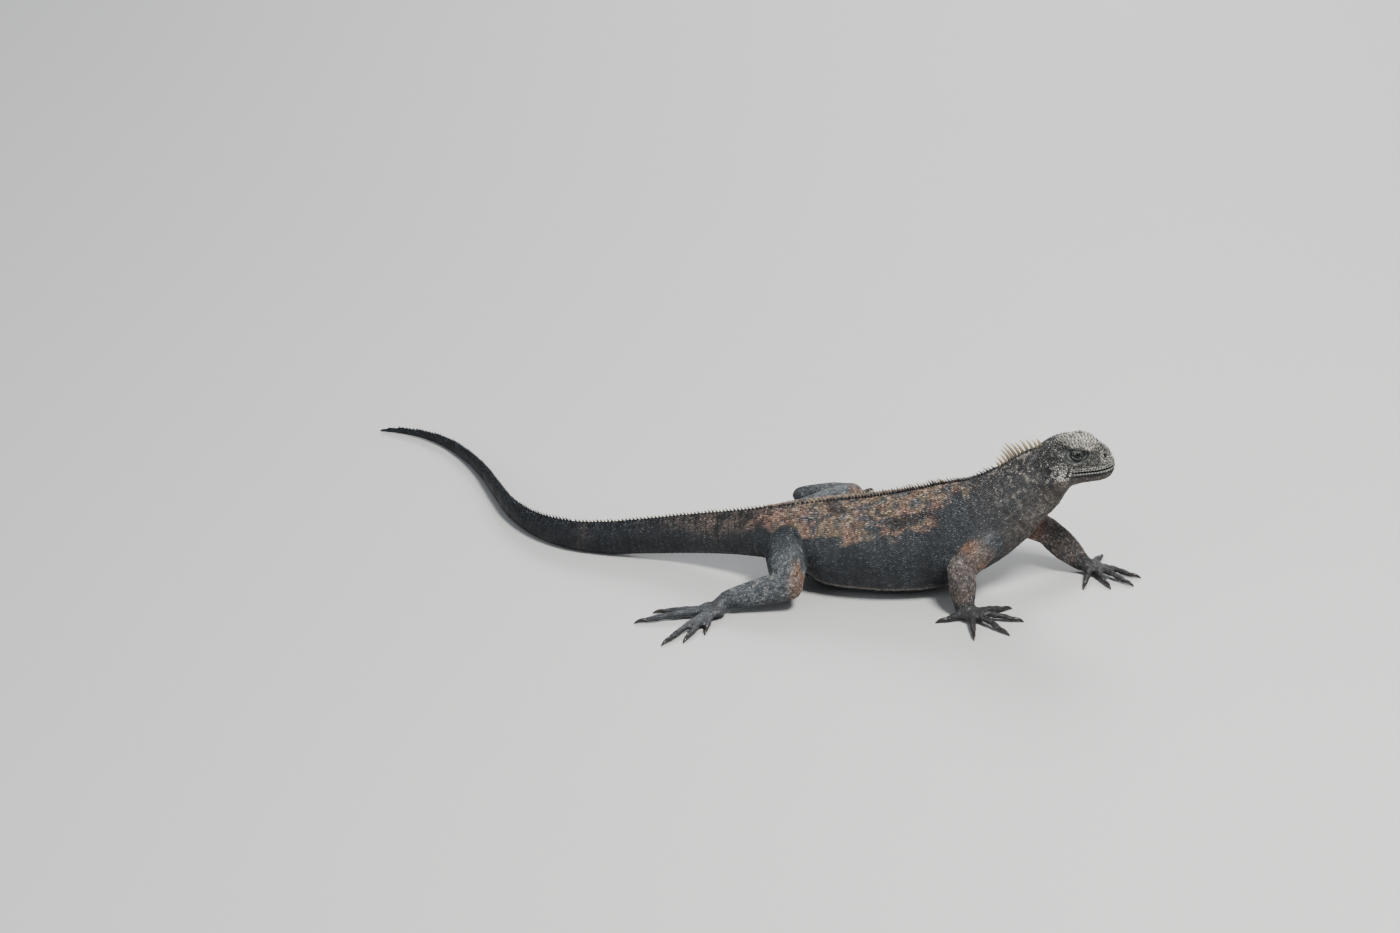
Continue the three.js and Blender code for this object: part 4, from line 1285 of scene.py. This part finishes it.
limb_batches, paw_batches = [], []
for index, paw in enumerate(LIMBS.values()):
    for part, (first, last, radii) in enumerate(bones(paw)):
        way = last - first
        rays = limb_lattice(first, last, max(radii), LIMB_SCALE[0])
        seen = (part + 0.001, part + 0.998)
        limb_batches.append(limb_scales(index, rays, way, max(radii), LIMB_SCALE, seen))
        rays = joint_lattice(first, radii[0] + 1, LIMB_SCALE[0])
        seen = (part - 0.002, part + 0.001)
        limb_batches.append(limb_scales(index, rays, way, radii[0] + 1, LIMB_SCALE, seen))
    wrist, palm = np.array(paw["joints"][2], float), np.array(paw["palm"], float)
    way = palm - wrist
    rays = joint_lattice(wrist, WRIST_RADIUS, WRIST_SCALE[0])
    paw_batches.append(limb_scales(index, rays, way, WRIST_RADIUS, WRIST_SCALE, (1.998, 2.001)))
    rays = limb_lattice(wrist, palm + way * 0.8, PALM_RADIUS, PALM_SCALE[0])
    paw_batches.append(limb_scales(index, rays, way, PALM_RADIUS, PALM_SCALE, (2.001, 2.3)))
    for tip in paw["tips"]:
        flesh, _ = digit_curves(paw, tip)
        for first, last in zip(flesh[:-1:6], flesh[6::6]):
            way = last - first
            rays = limb_lattice(first, last, DIGIT_RADIUS, DIGIT_SCALE[0])
            batch = limb_scales(index, rays, way, DIGIT_RADIUS, DIGIT_SCALE, (2.3, 3))
            share = (batch[0] - first) @ way / (way @ way)
            paw_batches.append(picked((share >= 0) & (share < 1), *batch))
stand_all("scales_limbs", limb_batches)
stand_all("scales_paws", paw_batches)


# The head's tubercles, of several sizes, spaced so that they don't crowd
def scattered(inside):
    """Random spots on the hide, two to a face, where inside holds: points, normals and uvs."""
    corner = corners_of(skin.data)
    spots, faces = [], []
    for _ in range(2):
        share = random.random(len(corner)) + 0.05
        middle = np.add.reduceat(skin_points[corner] * share[:, None], first_loop, axis=0)
        middle /= np.add.reduceat(share, first_loop)[:, None]
        near = np.flatnonzero(inside(middle))
        spots.append(middle[near])
        faces.append(near)
    faces = np.concatenate(faces)
    return np.concatenate(spots), face_normal[faces], face_uv[faces]


def spaced(spots, size, order, closest):
    """Picks spots in the order given that keep apart by closest, a share of their sizes' sum."""
    cells, chosen = {}, []
    around = list(itertools.product((-1, 0, 1), repeat=3))
    for k in order.tolist():
        spot = spots[k]
        x, y, z = (spot // CELL).astype(int).tolist()
        near = itertools.chain(*(cells.get((x + i, y + j, z + m), ()) for i, j, m in around))
        gaps = ((((spot - spots[other]) ** 2).sum(), closest * (size[k] + size[other])) for other in near)
        if all(gap > least ** 2 for gap, least in gaps):
            cells.setdefault((x, y, z), []).append(k)
            chosen.append(k)
    return np.array(chosen)


def lip_row(gap, spacing):
    """Spots along the whole lip, at one height over the mouth's line, and the way along it."""
    turn = np.linspace(-2.1, 2.1, 900)
    out = np.stack([np.cos(turn), np.sin(turn), 0 * turn], 1)
    level = np.full(len(turn), 124.0)
    middle_x, far = 186, 50
    for _ in range(3):
        origins = np.stack([middle_x + far * out[:, 0], far * out[:, 1], level], 1)
        kept, roots, normals, uvs = land(origins, -out, far)
        level = mouth_line(np.interp(np.arange(len(turn)), kept, roots[:, 0])) + gap
    arc = arc_along(roots)
    row = np.searchsorted(arc, np.arange(0.5 * spacing, arc[-1], spacing))
    row = row[roots[row, 0] > MOUTH_CORNER_X - 0.5]
    return picked(row, roots, normals, unit(np.gradient(roots, axis=0)), uvs)


def head_sizes(roots):
    """At each root the width of its tubercle, how much it is on the crown, and how much on the lids."""
    x, y, z = from_left(roots).T
    gap = z - mouth_line(x)
    size = np.full(len(x), 1.55)
    crown = ease(140.5, 144, z + 0.12 * (x - 175)) * ease(158, 164, x)
    crown = np.maximum(crown, 0.55 * ease(198, 203, x) * ease(129, 133, z))
    size += 1.55 * crown
    size += 0.55 * ease(10, 15, y) * bell(np.hypot((x - 168.5) / 10, (z - 121.5) / 8), 1)
    size += 0.3 * lips(x) * bell(gap - 3.6, 1.2)
    size -= 0.30 * ease(-6, -9, gap)
    u, v = x - EYE[0], z - EYE[2]
    lids = ease(1.15, 0.8, np.hypot(u / 11.8, v / 6.6)) * ease(8, 12, y)
    return size * (1 - 0.52 * lids), crown, lids


def head_tubercles():
    """Tubercles all over the head but on lips, eyes, nostrils and ears, and tall on the crown."""
    roots, normals, uvs = scattered(lambda spots: (spots[:, 0] > 145) & (spots[:, 2] > 80))
    left = from_left(roots)
    x, y, z = left.T
    size, crown, lids = head_sizes(roots)
    gap = z - mouth_line(x)
    across, _, rise = (unit(left - EYE) * EYE_RADIUS).T
    in_eye = (distance(left, EYE) < 8) & (np.hypot(across / LID_OPENING[0], rise / LID_OPENING[1]) < 1.35)
    on_lips = (gap > -2.7) & (gap < 2.9) & (x > MOUTH_CORNER_X - 1.5)
    on_ear = (ear_distance(x, z) < 1.05) & (y > 16)
    clear = (Survey(roots).head >= 0.5) & ~on_lips & ~in_eye & ~on_ear & (distance(left, NOSTRIL) > 2.1)
    order = np.flatnonzero(clear)
    order = order[np.argsort(-size[order] + random.uniform(0, 0.5, len(order)))]
    chosen = spaced(roots, size, order, 0.40)
    roots, normals, uvs, size, crown, lids = picked(chosen, roots, normals, uvs, size, crown, lids)
    tall = size * (0.24 + 0.50 * crown) * (1 - 0.45 * lids) * jittered(len(size), 0.25)
    sizes = np.stack([size * 1.10, size, tall], 1)
    lie = np.tile([-1.0, 0, 0.1], (len(size), 1))
    colours = scale_colours(Survey(roots), 0.30, 0.35)
    pointed = crown > 0.5
    for name, template, which in (("tubercles_crown", CONE, pointed), ("tubercles_face", ROUND, ~pointed)):
        stand(name, template, *picked(which, roots, normals, lie, uvs, sizes, colours), HEAD_RIM_SHADE)


head_tubercles()
for name, gap, spacing, width in (("lip_scales_upper", 1.65, 2.5, 2.1), ("lip_scales_lower", -1.6, 2.6, 1.9)):
    roots, normals, way, uvs = lip_row(gap, spacing)
    sizes = np.tile([spacing * 1.12, width, 0.6], (len(roots), 1))
    stand(name, ROUND, roots, normals, way, uvs, sizes, scale_colours(Survey(roots), 0.12, 0), HEAD_RIM_SHADE)


def fill_bare():
    """Scales wherever the rows left the hide bare, as at joints and folds."""
    roots, normals, uvs = scattered(lambda spots: spots[:, 2] > LOWEST_ROOT)
    survey = Survey(roots)
    on_paw, on_limb, on_body = 1.3, 1.6, 1.9
    pitch = np.where(survey.on_limb >= 0.5, np.where(survey.part > 1.95, on_paw, on_limb), on_body)
    taken = np.concatenate(STANDING)
    near = KDTree(len(taken))
    for k, spot in enumerate(taken.tolist()):
        near.insert(spot, k)
    near.balance()
    gap = np.array([near.find(spot)[2] for spot in roots.tolist()])
    bare = np.flatnonzero((survey.head < 0.5) & (gap > 0.9 * pitch))
    chosen = spaced(roots, pitch, random.permutation(bare), 0.45)
    roots, normals, uvs, size = picked(chosen, roots, normals, uvs, pitch)
    survey = Survey(roots)
    sizes = np.stack([size * 1.15, size * 1.04, 0.24 * size], 1)
    stand("scales_between", KEELED, roots, normals, -survey.along, uvs, sizes, scale_colours(survey))


fill_bare()


# Crest spines, a little flattened and curved to the rear
def crest(name, first, last, spacing, heights, long, wide, lean, upright, colours):
    """Spines from first to last on the spine, with their heights at the start, middle and end, their
    length and width at the foot, and the colours of foot, middle and tip."""
    rings, sides, sunk = 9, 10, 1.2
    rise = np.linspace(0, 1, rings)
    taper = (1 - rise ** 1.7) ** 0.8
    turn = full_turn(sides)
    levels = np.append(np.repeat(rise, sides), [0, 1])
    patch = np.stack([np.append(np.tile(np.cos(turn), rings), [0, 0]), levels - 0.5], 1)
    start, end = np.interp([first, last], PLACES, PLACE_ARC)
    places = np.interp(np.arange(start, end, spacing), PLACE_ARC, PLACES)
    points, faces, uvs, shades = [], [], [], []
    for k, place in enumerate(places):
        share = k / max(1, len(places) - 1)
        height = np.interp(share, [0, 0.5, 1], heights) * random.uniform(0.82, 1.12)
        row = rows_at(SPINE, place)
        along, side, up = spine_frame(np.array(place))
        above = row[:3] + up * (row[3] + 12)
        spot, _, face, _ = tree.ray_cast(above.tolist(), (-up).tolist(), 30)
        if spot is None:
            continue
        foot = np.array(spot) - up * sunk
        up = unit(up + side * random.uniform(-0.07, 0.07))
        full = height + sunk
        grow = 0.75 + 0.25 * height / max(heights)
        middle = (foot + up * (rise * full)[:, None]
                  - along * (full * (lean * rise ** 1.8 - upright * rise))[:, None])
        ring = (middle[:, None, :]
                + along * (0.5 * long * grow * taper[:, None] * np.cos(turn))[..., None]
                + side * (0.5 * wide * grow * taper[:, None] * np.sin(turn))[..., None])
        part, part_faces = shell(ring)
        faces += [tuple(v + len(points) * len(part) for v in face) for face in part_faces]
        points.append(part)
        shade = mix(colours[0], colours[1], ease(0.05, 0.40, levels))
        shades.append(mix(shade, colours[2], ease(0.35, 0.95, levels)) * random.uniform(0.8, 1.15))
        uvs.append(face_uv[face] + patch * [0.4 * PATCH, 0.8 * PATCH])
    hide_piece(name, np.concatenate(points), faces, np.concatenate(uvs), np.concatenate(shades))


cream, dark = COLOURS["cream"], COLOURS["charcoal"]
crest("crest_nape", 22.72, 24.62, spacing=3.2, heights=[8.5, 18.0, 9.5], long=3.4, wide=1.9,
      lean=0.30, upright=0.36, colours=(COLOURS["neck"], cream * 0.55, cream))
crest("crest_shoulder", 20.6, 22.6, spacing=3.2, heights=[6.6, 4.8, 7.0], long=2.4, wide=1.3,
      lean=0.28, upright=0.14, colours=(dark, dark, COLOURS["fleck"]))
crest("crest_back", 15.0, 20.55, spacing=3.3, heights=[4.2, 7.0, 7.2], long=2.5, wide=1.4,
      lean=0.30, upright=0.10, colours=(dark, dark, cream * 0.8))
crest("crest_tail_base", 9.2, 14.95, spacing=3.4, heights=[3.6, 3.6, 4.2], long=2.8, wide=1.3,
      lean=0.42, upright=0.1, colours=(dark, dark, cream * 0.6))
crest("crest_tail_end", 1.2, 9.1, spacing=3.6, heights=[1.8, 3.2, 3.7], long=3.2, wide=1.2,
      lean=0.6, upright=0, colours=(dark, dark, dark * 2.0))


# Claws
CLAW = claw_material()
for paw_name, paw in LIMBS.items():
    for k, tip in enumerate(paw["tips"]):
        _, line = digit_curves(paw, tip)
        share = np.linspace(0, 1, len(line))
        radii = CLAW_RADIUS * (1 - share ** 1.5) ** 0.75 + 0.12
        points, faces = tube(line, radii, 14)
        points[:, 2] = np.maximum(points[:, 2], 0.0)
        number = f"{paw_name}_{k + 1}"
        claw = mesh_object("horn_" + number, points, faces, CLAW)
        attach(claw, "root")
        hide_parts("claw_" + number)

# Eyes, with a slightly raised cornea
EYE_WET = eye_material()
for side, word in ((1, "left"), (-1, "right")):
    points, faces = ball([0, 0, 0], [1, 1, 1], 0.0)
    ahead = points @ unit(GAZE * [1, side, 1])
    points = points * (EYE_RADIUS + 0.35 * ease(0.80, 0.97, ahead))[:, None]
    eye = mesh_object(f"eye_{word}_ball", points + EYE * [1, side, 1], faces, EYE_WET)
    apply(eye, "SUBSURF", levels=1)
    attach(eye, "root")
    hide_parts("eye_" + word)


# Floor, camera and light
def floor_material():
    """Pale and matt, with faint clouds."""
    material, nodes, links, shader = node_material("floor_pale")
    cloud = texture(nodes, links, "ShaderNodeTexNoise", Scale=2.0, Detail=4.0).outputs["Fac"]
    pale = np.array((0.56, 0.56, 0.555))
    two_tone(nodes, links, cloud, pale * 0.97, pale, shader)
    shader.inputs["Roughness"].default_value = 0.7
    return material


bpy.ops.mesh.primitive_plane_add(size=14, location=(0, 0, 0))
floor = bpy.context.object
floor.name = "floor"
floor.data.materials.append(floor_material())


def aim(piece, ahead):
    """Turns a camera or a light to look along ahead."""
    piece.rotation_euler = ahead.to_track_quat("-Z", "Y").to_euler()


# The camera: the photo's width and the focal length in the photo's pixels, and the way to the camera
PHOTO_WIDTH = 1400
FOCAL_PIXELS = 4560
SENSOR_WIDTH = 36
azimuth, elevation = math.radians(6), math.radians(27)
camera_data = bpy.data.cameras.new("camera")
camera = bpy.data.objects.new("camera", camera_data)
bpy.context.scene.collection.objects.link(camera)
camera.location = (0.223957, -3.515471, 1.903109)
level = math.cos(elevation)
aim(camera, -Vector((math.sin(azimuth) * level, -math.cos(azimuth) * level, math.sin(elevation))))
camera_data.sensor_width = SENSOR_WIDTH
camera_data.lens = FOCAL_PIXELS / PHOTO_WIDTH * SENSOR_WIDTH
camera_data.clip_end = 50
bpy.context.scene.camera = camera

# Lights: place, size, watts and colour, all aimed at the body's middle
BODY_MIDDLE = Vector((0, 0, 0.05))
for name, place, size, power, colour in (
    ("key_light", (0.9, -0.9, 2.3), 0.7, 78, (1.0, 0.98, 0.95)),
    ("fill_light", (-1.8, -1.7, 1.3), 1.6, 14, (0.93, 0.96, 1.0)),
    ("rim_light", (0.2, 2.2, 1.6), 1.2, 34, (1.0, 1.0, 1.0)),
):
    data = bpy.data.lights.new(name, "AREA")
    data.shape = "DISK"
    data.size = size
    data.energy = power
    data.color = colour
    lamp = bpy.data.objects.new(name, data)
    bpy.context.scene.collection.objects.link(lamp)
    lamp.location = place
    aim(lamp, BODY_MIDDLE - Vector(place))

world = bpy.data.worlds.new("studio")
world.use_nodes = True
background = world.node_tree.nodes["Background"]
background.inputs["Color"].default_value = (0.90, 0.94, 1.0, 1)
background.inputs["Strength"].default_value = 0.34
bpy.context.scene.world = world
bpy.context.scene.view_settings.look = "AgX - Medium High Contrast"
